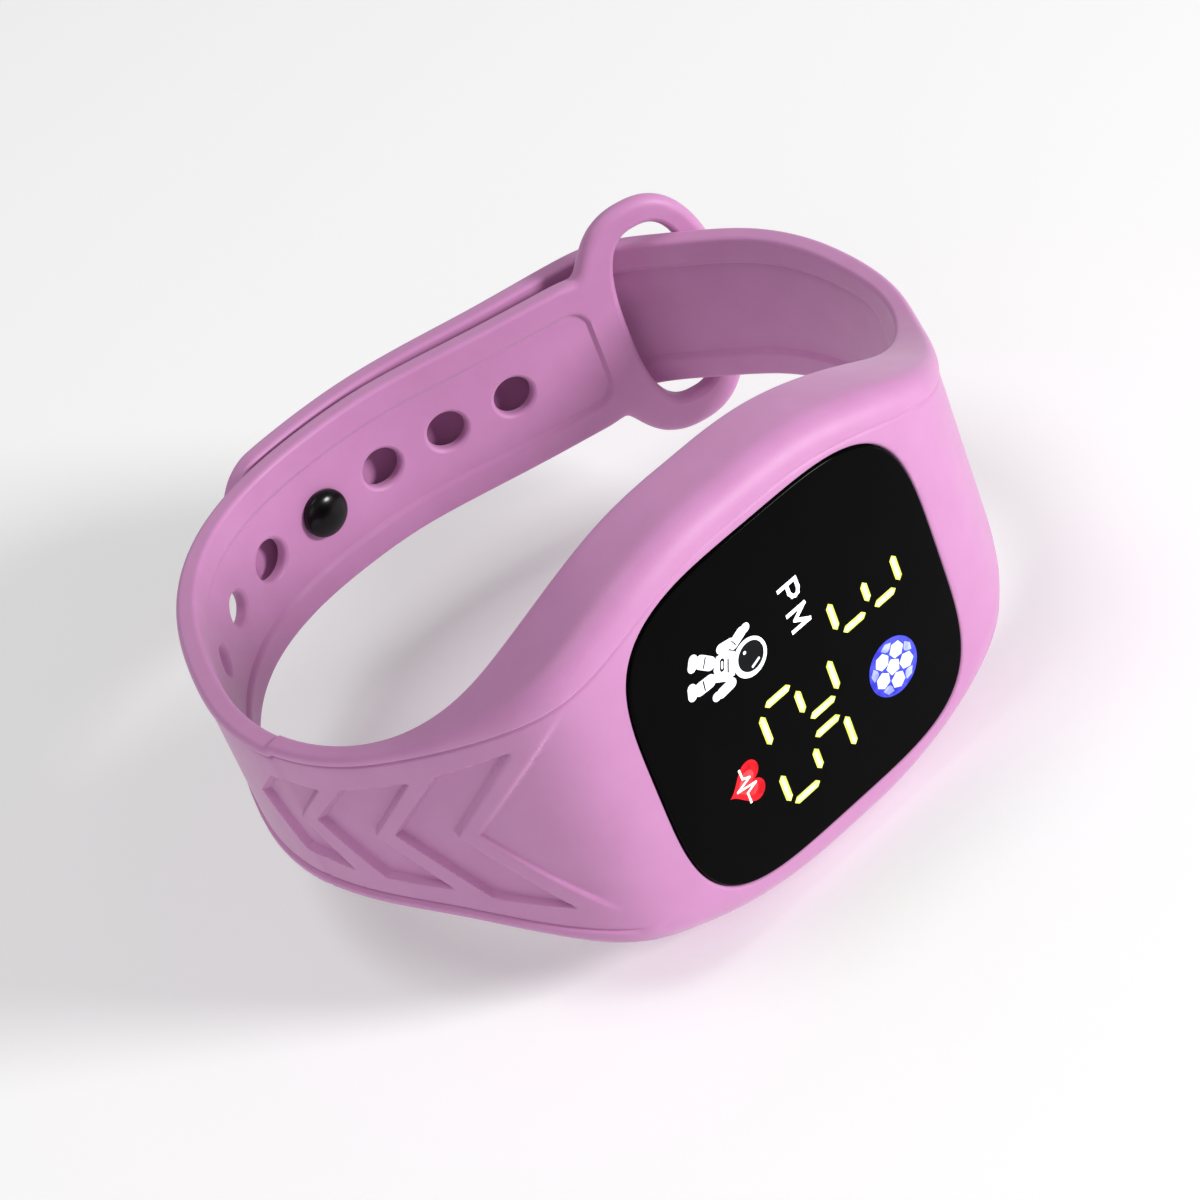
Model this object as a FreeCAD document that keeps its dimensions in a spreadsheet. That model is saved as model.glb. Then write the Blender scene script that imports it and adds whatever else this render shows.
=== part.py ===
import FreeCAD, Part
import os, math
from FreeCAD import Vector, Placement, Rotation

# Wrist band with a press-in display capsule.
# Frame: +Z along the wrist axis (the band lies on its side), display faces -Y,
# the 12 o'clock side of the display points to +X.  Millimetres.

doc = FreeCAD.newDocument("tracker_band")
sheet = doc.addObject("Spreadsheet::Sheet", "dims")
DIMS = [
    # band
    ("band_mid_z", 19.6),        # height of the strap centre line above the resting face
    ("case_half_width", 19.6),   # half width of the silicone case, measured along the wrist axis
    ("strap_half_width", 8.0),
    ("strap_thick", 2.0),
    ("plan_shift_x", 0.2634), ("plan_shift_y", -4.9498),
    ("front_y", -26.9),          # outer face of the case, before the shift
    ("corner_r", 3.2),           # rounding between the case front and its two sides
    ("hole_rad", 2.25), ("channel_half", 5.2), ("channel_deep", 0.35),
    ("chevron_deep", 0.6),
    ("ring_half_height", 12.8), ("ring_half_len", 7.3), ("slot_half_height", 9.7), ("slot_rise", 0.4), ("tip_round", 5.5), ("slot_half_len", 4.0),
    ("ring_thick", 2.0), ("layer_gap", 0.35),
    # display capsule
    ("module_x", -1.73),
    ("lens_half_x", 16.45), ("lens_half_z", 15.62), ("lens_thick", 1.4),
    ("window_play", 0.12), ("pocket_play", 0.15),
    ("shell_half_x", 17.75), ("shell_half_z", 16.95), ("shell_wall", 1.2),
    ("glue_thick", 0.15), ("front_wall", 1.0),
    ("shell_back_y", -19.0), ("cover_thick", 0.8),
    ("seal_deep", 0.4), ("seal_wide", 0.5),
    ("board_half_x", 14.2), ("board_half_z", 13.2), ("board_round", 9.0), ("board_thick", 0.8), ("board_y", -22.4),
    ("guide_half_x", 14.3), ("guide_half_z", 13.3), ("guide_thick", 1.7),
    ("screw_x", 12.8), ("screw_z", 12.2), ("screw_rad", 0.55), ("screw_head_rad", 1.1), ("boss_rad", 1.6),
    ("battery_x", 13.0), ("battery_z", 20.4), ("battery_thick", 2.2), ("battery_cx", -6.2),
    ("pad_thick", 0.3),
    ("chip_side", 5.0), ("chip_thick", 0.9), ("sensor_side", 2.0),
    ("crystal_long", 3.2), ("crystal_wide", 1.5), ("crystal_thick", 0.7),
    ("motor_rad", 4.0), ("motor_tall", 2.5), ("motor_wall", 0.25), ("motor_cx", 7.6), ("motor_cz", -6.6),
    ("rotor_rad", 3.4), ("rotor_tall", 1.1), ("axle_rad", 0.4),
    ("pulse_x", 4.4), ("pulse_z", 3.4), ("pulse_thick", 0.9), ("pulse_cx", 6.5), ("pulse_cz", 3.0),
    ("glass_rad", 3.6),
    ("pin_rad", 0.8), ("pin_cx", 12.6), ("pin_gap", 2.6),
    ("coil_rad", 1.2), ("coil_bore", 0.8), ("coil_cx", -12.3),
    ("bar_long", 2.7), ("bar_wide", 0.75),
    # clasp
    ("stud_head_rad", 2.0), ("stud_head_tall", 1.2), ("stud_neck_rad", 1.45),
    ("stud_foot_rad", 2.6), ("stud_foot_tall", 0.6), ("cap_rad", 3.0), ("cap_tall", 0.8),
]
for i, (alias, val) in enumerate(DIMS, start=1):
    sheet.set("A%d" % i, alias)
    sheet.set("B%d" % i, str(val))
    sheet.setAlias("B%d" % i, alias)
doc.recompute()
D = {alias: float(getattr(sheet, alias)) for alias, _ in DIMS}
MZ, SX, SY = D["band_mid_z"], D["plan_shift_x"], D["plan_shift_y"]

KEEP = []          # (object, node name)
def keep(obj, name):
    obj.Label = name
    KEEP.append((obj, name))
    return obj

def P(x, y, z=0.0):
    return Vector(x + SX, y + SY, z + MZ)

def curve(pts, z=0.0):
    bs = Part.BSplineCurve()
    bs.interpolate([P(x, y, z) for x, y in pts])
    return bs

# ---------------------------------------------------------------- plan curves
# inner face of the loop, from the left strap (y = 0) round the case to the right strap (y = 0)
IN_FRONT = [(-34.44, 0.0), (-32.9, -6.4), (-29.4, -12.2), (-24.4, -16.2), (-18.6, -18.2), (-10.0, -18.9),
            (-1.73, -18.95), (7.0, -18.9), (15.6, -18.4), (22.3, -16.4), (27.9, -12.1), (31.8, -6.2), (33.4, 0.0)]
OUT_FRONT = [(-36.35, 0.0), (-34.9, -6.2), (-31.9, -12.9), (-26.6, -21.8), (-22.9, -25.3), (-17.8, -26.75),
             (-10.0, -26.9), (-1.73, -26.9), (7.0, -26.9), (14.4, -26.75), (20.0, -25.4), (24.9, -21.0), (30.1, -13.1), (33.7, -6.3), (35.4, 0.0)]
# left strap (the one with the holes): inner face from y = 0 to the ring
IN_A = [(-34.44, 0.0), (-34.1, 6.5), (-31.9, 13.3), (-25.1, 24.6), (-19.9, 28.75), (-12.9, 31.15), (-6.0, 31.5), (0.0, 30.85), (5.6, 29.2), (12.2, 26.9), (19.5, 24.6), (24.1, 23.14)]
# right strap, inner face: y = 0, through the ring slot, then lying outside the left strap
IN_B = [(33.4, 0.0), (34.0, 7.0), (32.8, 13.8), (31.1, 17.4), (28.9, 21.2), (26.7, 24.6), (24.7, 26.5), (22.3, 27.5)]
IN_END = [(22.3, 27.5), (18.5, 28.55), (13.0, 30.05), (6.5, 32.1), (0.6, 33.5), (-6.0, 34.0), (-9.8, 33.9), (-14.2, 33.35), (-16.0, 32.95)]

def sample(pts, n):
    bs = curve(pts)
    a, b = bs.FirstParameter, bs.LastParameter
    out = []
    for i in range(n):
        u = a + (b - a) * i / (n - 1.0)
        p = bs.value(u)
        t = bs.tangent(u)[0]
        out.append((p.x - SX, p.y - SY, t.x, t.y))
    return out

def offset(pts, dist, n, side=1):
    # side +1 puts the offset curve to the left of the walking direction
    return [(x - side * ty * dist, y + side * tx * dist) for x, y, tx, ty in sample(pts, n)]

# one continuous inner face, so that the case block meets both straps without a step
MASTER = IN_A[::-1] + IN_FRONT[1:] + IN_B[1:] + IN_END[1:]
FULL = sample(MASTER, 620)
HALF_WAY = min(range(len(FULL)), key=lambda i: math.hypot(FULL[i][0] + 1.73, FULL[i][1] + 18.95))
kl = max(i for i, q in enumerate(FULL) if q[0] < -20 and q[1] > 0.0 and i < HALF_WAY)
kr = min(i for i, q in enumerate(FULL) if q[0] > 20 and q[1] > 0.0 and i > HALF_WAY)
ks = min(range(HALF_WAY, len(FULL)), key=lambda i: math.hypot(FULL[i][0] - 22.3, FULL[i][1] - 27.5))
def thin(lst, step):
    out = lst[::step]
    if out[-1] != lst[-1]:
        out.append(lst[-1])
    return out
sec_a = thin(FULL[:kl + 1][::-1], 6)          # y = 0 to the ring
sec_b = thin(FULL[kr:ks + 1], 5)              # y = 0 to the split beside the ring
qx, qy, qtx, qty = FULL[ks]
sec_e = thin([(qx + 0.12 * qtx, qy + 0.12 * qty, qtx, qty)] + FULL[ks + 2:], 5)   # the free end
sec_f = thin(FULL[kl - 8:kr + 9], 6)          # case block with a little of both straps
tk = D["strap_thick"]
IN_A2 = [(x, y) for x, y, tx, ty in sec_a]
OUT_A2 = [(x + ty * tk, y - tx * tk) for x, y, tx, ty in sec_a]
IN_B2 = [(x, y) for x, y, tx, ty in sec_b]
OUT_B2 = [(x + ty * tk, y - tx * tk) for x, y, tx, ty in sec_b]
IN_F2 = [(x, y) for x, y, tx, ty in sec_f]
def side_pts(seq):
    return [(x + ty * tk, y - tx * tk) for x, y, tx, ty in seq]
OUT_F2 = side_pts([FULL[kl - 8], FULL[kl - 4], FULL[kl]]) + OUT_FRONT[1:-1] + side_pts([FULL[kr], FULL[kr + 4], FULL[kr + 8]])

def strip_face(inner, outer, z):
    a, b = curve(inner, z), curve(outer, z)
    ea, eb = a.toShape(), b.toShape()
    l1 = Part.LineSegment(P(*inner[-1], z), P(*outer[-1], z)).toShape()
    l2 = Part.LineSegment(P(*outer[0], z), P(*inner[0], z)).toShape()
    return Part.Face(Part.Wire([ea, l1, eb, l2]))

def feature(name, shape):
    f = doc.addObject("Part::Feature", name)
    f.Shape = shape
    return f

def extrude(name, face_obj, vec, length, symmetric=False):
    e = doc.addObject("Part::Extrusion", name)
    e.Base = face_obj
    e.DirMode = "Custom"
    e.Dir = vec
    e.LengthFwd = length
    e.Symmetric = symmetric
    e.Solid = True
    return e

def wide_strip(name, inner, outer, half, half_expr=None):
    z = -half
    face = feature(name + "_plan", strip_face(inner, outer, 0.0))
    e = extrude(name, face, Vector(0, 0, 1), 2 * half, True)
    if half_expr:
        e.setExpression("LengthFwd", "2 * " + half_expr)
    return e

# ---------------------------------------------------------------- case and chevron side of the band
front_plan = wide_strip("front_block", IN_F2, OUT_F2, 20.5)

OUTLINE = [(0, 19.98), (4, 19.84), (7.5, 19.38), (11, 18.45), (16, 16.5), (20, 14.3), (24, 11.75), (28, 9.65), (32, 8.35), (36.5, 8.0), (39.5, 8.0)]
mx = D["module_x"]
top = [(mx - u, w) for u, w in reversed(OUTLINE)] + [(mx + u, w) for u, w in OUTLINE[1:]]
def outline_face(y):
    up = Part.BSplineCurve(); up.interpolate([Vector(x + SX, y + SY, MZ + w) for x, w in top])
    dn = Part.BSplineCurve(); dn.interpolate([Vector(x + SX, y + SY, MZ - w) for x, w in top])
    x0, x1 = top[0][0] + SX, top[-1][0] + SX
    w0 = top[0][1]
    l1 = Part.LineSegment(Vector(x1, y + SY, MZ + w0), Vector(x1, y + SY, MZ - w0)).toShape()
    l2 = Part.LineSegment(Vector(x0, y + SY, MZ - w0), Vector(x0, y + SY, MZ + w0)).toShape()
    return Part.Face(Part.Wire([up.toShape(), l1, dn.toShape(), l2]))
outline = feature("case_outline", outline_face(-30.0))
outline_block = extrude("case_outline_block", outline, Vector(0, 1, 0), 30.3)

def rounded_side_face(x):
    y0, y1, h, r = D["front_y"] + SY, 2.0 + SY, D["case_half_width"], D["corner_r"]
    lo, hi = MZ - h, MZ + h
    k = r * (1 - math.sqrt(0.5))
    pts = [Vector(x, y1, lo), Vector(x, y0 + r, lo), Vector(x, y0 + k, lo + k), Vector(x, y0, lo + r),
           Vector(x, y0, hi - r), Vector(x, y0 + k, hi - k), Vector(x, y0 + r, hi), Vector(x, y1, hi)]
    e = [Part.LineSegment(pts[0], pts[1]).toShape(), Part.Arc(pts[1], pts[2], pts[3]).toShape(),
         Part.LineSegment(pts[3], pts[4]).toShape(), Part.Arc(pts[4], pts[5], pts[6]).toShape(),
         Part.LineSegment(pts[6], pts[7]).toShape(), Part.LineSegment(pts[7], pts[0]).toShape()]
    return Part.Face(Part.Wire(e))
side_face = feature("case_side", rounded_side_face(-40.0))
side_block = extrude("case_side_block", side_face, Vector(1, 0, 0), 80.0)

front = doc.addObject("Part::MultiCommon", "case_front")
front.Shapes = [front_plan, outline_block, side_block]

# ---------------------------------------------------------------- straps
strap_a = wide_strip("strap_a", IN_A2, OUT_A2, D["strap_half_width"], "dims.strap_half_width")
strap_b = wide_strip("strap_b_root", IN_B2, OUT_B2, D["strap_half_width"], "dims.strap_half_width")

# oval ring at the end of the holed strap; a flat plate leaning outward
R0 = (19.5, 24.6)
ra = math.radians(-17.6)
rd = (math.cos(ra), math.sin(ra))
rn = (-rd[1], rd[0])
def ring_point(s, n, z):
    return Vector(R0[0] + rd[0] * s + rn[0] * n + SX, R0[1] + rd[1] * s + rn[1] * n + SY, MZ + z)
def oval_wire(cs, hl, hh, n, power=2.4, count=40, rise=0.0):
    pts = []
    for i in range(count):
        a = 2 * math.pi * i / count
        c, s_ = math.cos(a), math.sin(a)
        pts.append(ring_point(cs + hl * math.copysign(abs(c) ** (2 / power), c), n, rise + hh * math.copysign(abs(s_) ** (2 / power), s_)))
    bs = Part.BSplineCurve(); bs.interpolate(pts, PeriodicFlag=True)
    return Part.Wire(bs.toShape())
ring_outer = feature("ring_outline", Part.Face(oval_wire(8.6, D["ring_half_len"], D["ring_half_height"], 0.0)))
ring_plate = extrude("ring_plate", ring_outer, Vector(rn[0], rn[1], 0), D["ring_thick"])
ring_plate.setExpression("LengthFwd", "dims.ring_thick")
ring_inner = feature("ring_slot_outline", Part.Face(oval_wire(9.0, D["slot_half_len"], D["slot_half_height"], -3.0, 2.6, 40, D["slot_rise"])))
ring_slot = extrude("ring_slot", ring_inner, Vector(rn[0], rn[1], 0), 8.0)
ring_sum = doc.addObject("Part::MultiFuse", "ring_and_strap")
ring_sum.Shapes = [strap_a, ring_plate]
ring = doc.addObject("Part::Cut", "ring")
ring.Base = ring_sum
ring.Tool = ring_slot

# ---------------------------------------------------------------- tools cut from the band
def squircle_wire(hx, hz, y, power=3.9, count=48):
    pts = []
    for i in range(count):
        a = 2 * math.pi * i / count
        c, s_ = math.cos(a), math.sin(a)
        pts.append(P(mx + hx * math.copysign(abs(c) ** (2 / power), c), y, hz * math.copysign(abs(s_) ** (2 / power), s_)))
    bs = Part.BSplineCurve(); bs.interpolate(pts, PeriodicFlag=True)
    return Part.Wire(bs.toShape())
def squircle_prism(name, hx, hz, y0, y1, power=3.9):
    f = feature(name + "_outline", Part.Face(squircle_wire(hx, hz, y0, power)))
    return extrude(name, f, Vector(0, 1, 0), y1 - y0)
fy = D["front_y"]
lens_back = fy + D["lens_thick"]
shell_front = lens_back + D["glue_thick"]
pp = D["pocket_play"]
window = squircle_prism("window_cut", D["lens_half_x"] + D["window_play"], D["lens_half_z"] + D["window_play"], fy - 2, -10.0)
pocket = squircle_prism("pocket_cut", D["shell_half_x"] + pp, D["shell_half_z"] + pp, shell_front - 0.05, -10.0)

HOLES = [(12.22, 26.63), (5.6, 29.01), (-1.06, 31.05), (-8.08, 31.64), (-15.1, 30.6), (-21.07, 28.13), (-26.51, 23.5)]
ina = curve(IN_A)
def frame_on(bs, x, y):
    u = bs.parameter(Vector(x + SX, y + SY, MZ))
    p = bs.value(u)
    t = bs.tangent(u)[0]
    n = Vector(-t.y, t.x, 0)
    if n.dot(Vector(p.x, p.y, 0)) < 0:
        n = n * -1
    return p, t, n
hole_objs = []
for i, (x, y) in enumerate(HOLES):
    p, t, n = frame_on(ina, x, y)
    c = doc.addObject("Part::Cylinder", "strap_hole_%d" % (i + 1))
    c.setExpression("Radius", "dims.hole_rad")
    c.Height = 6
    c.Placement = Placement(p - n * 2.0, Rotation(Vector(0, 0, 1), n))
    hole_objs.append(c)

# shallow channel along the inner face of the holed strap
CH = [q for q in sample(IN_A, 60)]
ch = [q for q in CH if (q[1] > 16.0 and q[0] < 21.0)]
cd = D["channel_deep"]
ch_in = [(x + ty * 0.8, y - tx * 0.8) for x, y, tx, ty in ch][::3]
ch_out = [(x - ty * cd, y + tx * cd) for x, y, tx, ty in ch][::3]
channel = wide_strip("channel_cut", ch_in, ch_out, D["channel_half"], "dims.channel_half")

# three arrow-shaped pockets on the outer face of the 6 o'clock side
CHEVRONS = [
    [(-15.7, 6.7), (-21.8, 8.9), (-15.0, 0.0), (-21.6, -8.4), (-15.8, -6.9), (-9.9, 0.0)],
    [(-6.6, 4.6), (-12.9, 5.8), (-7.8, -0.3), (-12.6, -6.0), (-7.1, -5.2), (-2.4, 0.4)],
    [(1.2, 4.2), (-4.0, 4.2), (-0.1, 0.1), (-3.8, -4.9), (1.2, -4.0), (4.65, 0.6)],
]
skin_out_pts = [(-36.45, 8.0), (-36.55, 4.5)] + OUT_FRONT[:6]
dd = D["chevron_deep"]
skin_in = offset(skin_out_pts, dd, 20, side=1)
skin_out = offset(skin_out_pts, 1.2, 20, side=-1)
skin = wide_strip("chevron_skin", skin_in, skin_out, 10.5)
chev_faces = []
for i, poly in enumerate(CHEVRONS):
    w = Part.makePolygon([Vector(-45 + SX, y + SY, MZ + z) for y, z in poly + poly[:1]])
    f = feature("chevron_%d_outline" % (i + 1), Part.Face(w))
    chev_faces.append(extrude("chevron_%d" % (i + 1), f, Vector(1, 0, 0), 32.0))
chev_all = doc.addObject("Part::MultiFuse", "chevrons"); chev_all.Shapes = chev_faces
chev_cut = doc.addObject("Part::Common", "chevron_cut"); chev_cut.Base = chev_all; chev_cut.Tool = skin

band_raw = doc.addObject("Part::MultiFuse", "band_raw")
band_raw.Shapes = [front, ring, strap_b]
band_tools = doc.addObject("Part::MultiFuse", "band_tools")
band_tools.Shapes = [window, pocket, channel] + hole_objs
band_cut = doc.addObject("Part::Cut", "band_bored"); band_cut.Base = band_raw; band_cut.Tool = band_tools
band = doc.addObject("Part::Cut", "band"); band.Base = band_cut; band.Tool = chev_cut
keep(band, "silicone_band")

# ---------------------------------------------------------------- free end of the right strap and its stud
end_in = [(x, y) for x, y, tx, ty in sec_e]
end_out = [(x + ty * tk, y - tx * tk) for x, y, tx, ty in sec_e]
end_strip = wide_strip("end_strip", end_in, end_out, D["strap_half_width"], "dims.strap_half_width")
inb = curve(IN_END)
ps, ts, ns = frame_on(ina, *HOLES[3])
# the stud stands square to the strap at the fourth hole
foot_bore = doc.addObject("Part::Cylinder", "stud_foot_bore")
foot_bore.Radius = D["stud_neck_rad"] + 0.02
foot_bore.Height = 8
foot_bore.Placement = Placement(ps + ns * 0.5, Rotation(Vector(0, 0, 1), ns))
# rounded tip
tipx, tipy = -16.0, 32.95
tip_face_pts = []
def tip_cutter():
    # plan block past the tip, with a round nose seen square to the strap
    p, t, n = frame_on(inb, tipx + 0.1, tipy)
    if t.x > 0: t = t * -1
    hw = D["strap_half_width"]
    rc = D["tip_round"]
    nose = p - t * rc
    k = rc * math.sqrt(0.5)
    outer = Part.makeBox(20, 12, 40, nose + n * -4 + Vector(0, 0, -20), Vector(0, 0, 1))
    def Q(a, z): return nose + t * a + n * -4.0 + Vector(0, 0, z)
    a1 = Part.Arc(Q(0, hw), Q(k, hw - rc + k), Q(rc, hw - rc)).toShape()
    a2 = Part.LineSegment(Q(rc, hw - rc), Q(rc, rc - hw)).toShape()
    a3 = Part.Arc(Q(rc, rc - hw), Q(k, rc - hw - k), Q(0, -hw)).toShape()
    l1 = Part.LineSegment(Q(0, -hw), Q(0, -hw - 4)).toShape()
    l2 = Part.LineSegment(Q(0, -hw - 4), Q(hw + 6, -hw - 4)).toShape()
    l3 = Part.LineSegment(Q(hw + 6, -hw - 4), Q(hw + 6, hw + 4)).toShape()
    l4 = Part.LineSegment(Q(hw + 6, hw + 4), Q(0, hw + 4)).toShape()
    l5 = Part.LineSegment(Q(0, hw + 4), Q(0, hw)).toShape()
    return Part.Face(Part.Wire([a1, a2, a3, l1, l2, l3, l4, l5])), n
tf, tn = tip_cutter()
tip_outline = feature("tip_outline", tf)
tip_cut = extrude("tip_cut", tip_outline, tn, 12.0)
end_tools = doc.addObject("Part::MultiFuse", "end_tools"); end_tools.Shapes = [foot_bore, tip_cut]
end = doc.addObject("Part::Cut", "end"); end.Base = end_strip; end.Tool = end_tools
keep(end, "strap_free_end")

# stud: head inside the loop, neck through both straps, cap outside
pb, tb, nb = frame_on(inb, *[ps.x - SX + ns.x * 2.4, ps.y - SY + ns.y * 2.4])
inner_to_end = (pb - ps).dot(ns)       # inner face of strap A to the inner face of the free end
end_outer = inner_to_end + tk + 0.05    # the cap clears the curved outer face
def stud_profile():
    hr, hh, nr = D["stud_head_rad"], D["stud_head_tall"], D["stud_neck_rad"]
    # revolved about local Z, Z = 0 at the inner face of the holed strap, +Z outward
    z0 = -hh - 0.1
    pts = [Vector(0, 0, z0), Vector(hr * 0.55, 0, z0 + 0.12), Vector(hr, 0, z0 + hh * 0.62)]
    e1 = Part.Arc(pts[0], pts[1], pts[2]).toShape()
    q = [pts[2], Vector(hr, 0, -0.1), Vector(nr, 0, -0.1), Vector(nr, 0, end_outer), Vector(0, 0, end_outer), Vector(0, 0, z0)]
    edges = [e1] + [Part.LineSegment(q[i], q[i + 1]).toShape() for i in range(len(q) - 1)]
    return Part.Face(Part.Wire(edges))
prof = feature("stud_profile", stud_profile())
rev = doc.addObject("Part::Revolution", "stud_turned")
rev.Source = prof; rev.Axis = Vector(0, 0, 1); rev.Base = Vector(0, 0, 0); rev.Angle = 360; rev.Solid = True
rev.Placement = Placement(ps, Rotation(Vector(0, 0, 1), ns))
keep(rev, "clasp_stud")
cap = doc.addObject("Part::Cylinder", "cap")
cap.setExpression("Radius", "dims.cap_rad"); cap.setExpression("Height", "dims.cap_tall")
cap.Placement = Placement(ps + ns * end_outer, Rotation(Vector(0, 0, 1), ns))
keep(cap, "clasp_stud_cap")
print("hinge corner (before the shift)", qx + qty * tk, qy - qtx * tk)

# ---------------------------------------------------------------- display capsule
# local axes of every capsule piece: x = +X, y = +Z (wrist axis), z = -Y (towards the wearer's eye)
ROT = Rotation(Vector(1, 0, 0), 90)
def spot(x, y, z):
    # x, z from the capsule centre, y = wrist-side face of the piece
    return Placement(P(mx + x, y, z), ROT)

def pad(name, hx, hz, thick, x, y, z, rnd=0.0, exprs=None, holes=(), label=None, thick_expr=None):
    """Rounded plate as a body: a sketched rectangle, padded, corners filleted, round holes pocketed."""
    body = doc.addObject("PartDesign::Body", name + "_body")
    sk = body.newObject("Sketcher::SketchObject", name + "_sketch")
    plane = [f for f in body.Origin.OriginFeatures if f.Role == "XY_Plane"][0]
    sk.AttachmentSupport = [(plane, "")]
    sk.MapMode = "FlatFace"
    import Sketcher
    c = [Vector(-hx, -hz, 0), Vector(hx, -hz, 0), Vector(hx, hz, 0), Vector(-hx, hz, 0)]
    for i in range(4):
        sk.addGeometry(Part.LineSegment(c[i], c[(i + 1) % 4]), False)
    for i in range(4):
        sk.addConstraint(Sketcher.Constraint("Coincident", i, 2, (i + 1) % 4, 1))
    sk.addConstraint(Sketcher.Constraint("Horizontal", 0)); sk.addConstraint(Sketcher.Constraint("Horizontal", 2))
    sk.addConstraint(Sketcher.Constraint("Vertical", 1)); sk.addConstraint(Sketcher.Constraint("Vertical", 3))
    sk.addConstraint(Sketcher.Constraint("Symmetric", 0, 1, 1, 2, -1, 1))
    cw = sk.addConstraint(Sketcher.Constraint("DistanceX", 0, 1, 0, 2, 2 * hx)); sk.renameConstraint(cw, "wide")
    chh = sk.addConstraint(Sketcher.Constraint("DistanceY", 1, 1, 1, 2, 2 * hz)); sk.renameConstraint(chh, "tall")
    if exprs:
        sk.setExpression("Constraints.wide", exprs[0]); sk.setExpression("Constraints.tall", exprs[1])
    pd = body.newObject("PartDesign::Pad", name + "_pad")
    pd.Profile = sk; pd.Length = thick
    if thick_expr:
        pd.setExpression("Length", thick_expr)
    doc.recompute()
    if rnd:
        names = ["Edge%d" % (i + 1) for i, e in enumerate(pd.Shape.Edges)
                 if abs(abs(e.tangentAt(e.FirstParameter).z) - 1) < 1e-6]
        fl = body.newObject("PartDesign::Fillet", name + "_round")
        fl.Base = (pd, names); fl.Radius = rnd
        doc.recompute()
    if holes:
        hs = body.newObject("Sketcher::SketchObject", name + "_hole_sketch")
        hs.AttachmentSupport = [(plane, "")]; hs.MapMode = "FlatFace"
        for (px, pz, r) in holes:
            hs.addGeometry(Part.Circle(Vector(px, pz, 0), Vector(0, 0, 1), r), False)
        pk = body.newObject("PartDesign::Pocket", name + "_holes")
        pk.Profile = hs; pk.Type = 1; pk.Reversed = True
        before = body.Shape.Volume if body.Shape.Solids else 0
        doc.recompute()
        if body.Tip.Shape.Volume >= pd.Shape.Volume - 1e-6:
            pk.Reversed = False
            doc.recompute()
    body.Placement = spot(x, y, z)
    keep(body, label or name)
    return body

def cylinder(name, rad, tall, x, y, z, rad_expr=None, tall_expr=None):
    c = doc.addObject("Part::Cylinder", name)
    c.Radius = rad; c.Height = tall
    if rad_expr: c.setExpression("Radius", rad_expr)
    if tall_expr: c.setExpression("Height", tall_expr)
    c.Placement = spot(x, y, z)
    return c
def box(name, bx, bz, thick, x, y, z):
    b = doc.addObject("Part::Box", name)
    b.Length = bx; b.Width = bz; b.Height = thick
    b.Placement = spot(x - bx / 2.0, y, z - bz / 2.0)
    return b

# lens
lens = squircle_prism("lens_plate", D["lens_half_x"], D["lens_half_z"], fy, lens_back)
lens.setExpression("LengthFwd", "dims.lens_thick")
keep(lens, "front_lens")
# ring of adhesive under the lens
gl_o = squircle_prism("glue_outer", D["lens_half_x"] - 0.25, D["lens_half_z"] - 0.25, lens_back, shell_front)
gl_i = squircle_prism("glue_inner", D["guide_half_x"] + 0.6, D["guide_half_z"] + 0.6, lens_back - 1, shell_front + 1)
glue = doc.addObject("Part::Cut", "glue"); glue.Base = gl_o; glue.Tool = gl_i
keep(glue, "lens_adhesive")

# capsule shell: open towards the wrist, window for the light guide in front, four screw bosses
sb = D["shell_back_y"]
sh_o = squircle_prism("shell_outer", D["shell_half_x"], D["shell_half_z"], shell_front, sb)
sw = D["shell_wall"]
sh_i = squircle_prism("shell_inner", D["shell_half_x"] - sw, D["shell_half_z"] - sw, shell_front + D["front_wall"], sb + 1)
shell_cup = doc.addObject("Part::Cut", "shell_cup"); shell_cup.Base = sh_o; shell_cup.Tool = sh_i
SCREWS = [(sx * D["screw_x"], sz * D["screw_z"]) for sx in (-1, 1) for sz in (-1, 1)]
bosses = [cylinder("boss_%d" % i, D["boss_rad"], sb - shell_front, x, sb, z, "dims.boss_rad") for i, (x, z) in enumerate(SCREWS, 1)]
pilots = [cylinder("pilot_%d" % i, D["screw_rad"] + 0.03, 4.2, x, sb + 0.1, z) for i, (x, z) in enumerate(SCREWS, 1)]
shell_sum = doc.addObject("Part::MultiFuse", "shell_sum"); shell_sum.Shapes = [shell_cup] + bosses
gh_x, gh_z, gr = D["guide_half_x"] + 0.08, D["guide_half_z"] + 0.08, D["board_round"]
def rrect_face(hx, hz, r, y):
    k = r * (1 - math.sqrt(0.5))
    def Q(a, b): return P(mx + a, y, b)
    e = []
    corners = [(hx, hz), (-hx, hz), (-hx, -hz), (hx, -hz)]
    s = [(1, 1), (-1, 1), (-1, -1), (1, -1)]
    arcs = []
    for i, (cx, cz) in enumerate(corners):
        sx, sz = s[i]
        a = Q(cx, cz - sz * r); m = Q(cx - sx * k, cz - sz * k); b = Q(cx - sx * r, cz)
        if i % 2 == 1:
            a, b = b, a
        arcs.append((a, m, b))
    for i in range(4):
        a, m, b = arcs[i]
        e.append(Part.Arc(a, m, b).toShape())
        e.append(Part.LineSegment(b, arcs[(i + 1) % 4][0]).toShape())
    return Part.Face(Part.Wire(e))
gw = extrude("guide_window", feature("guide_window_outline", rrect_face(gh_x, gh_z, gr, shell_front - 1)), Vector(0, 1, 0), 3.0)
se_o = squircle_prism("seal_groove_outer", D["shell_half_x"] - 0.35, D["shell_half_z"] - 0.35, sb - D["seal_deep"], sb + 1)
se_i = squircle_prism("seal_groove_inner", D["shell_half_x"] - 0.35 - D["seal_wide"], D["shell_half_z"] - 0.35 - D["seal_wide"], sb - D["seal_deep"] - 0.5, sb + 2)
groove = doc.addObject("Part::Cut", "seal_groove"); groove.Base = se_o; groove.Tool = se_i
shell_tools = doc.addObject("Part::MultiFuse", "shell_tools"); shell_tools.Shapes = [gw, groove] + pilots
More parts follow.
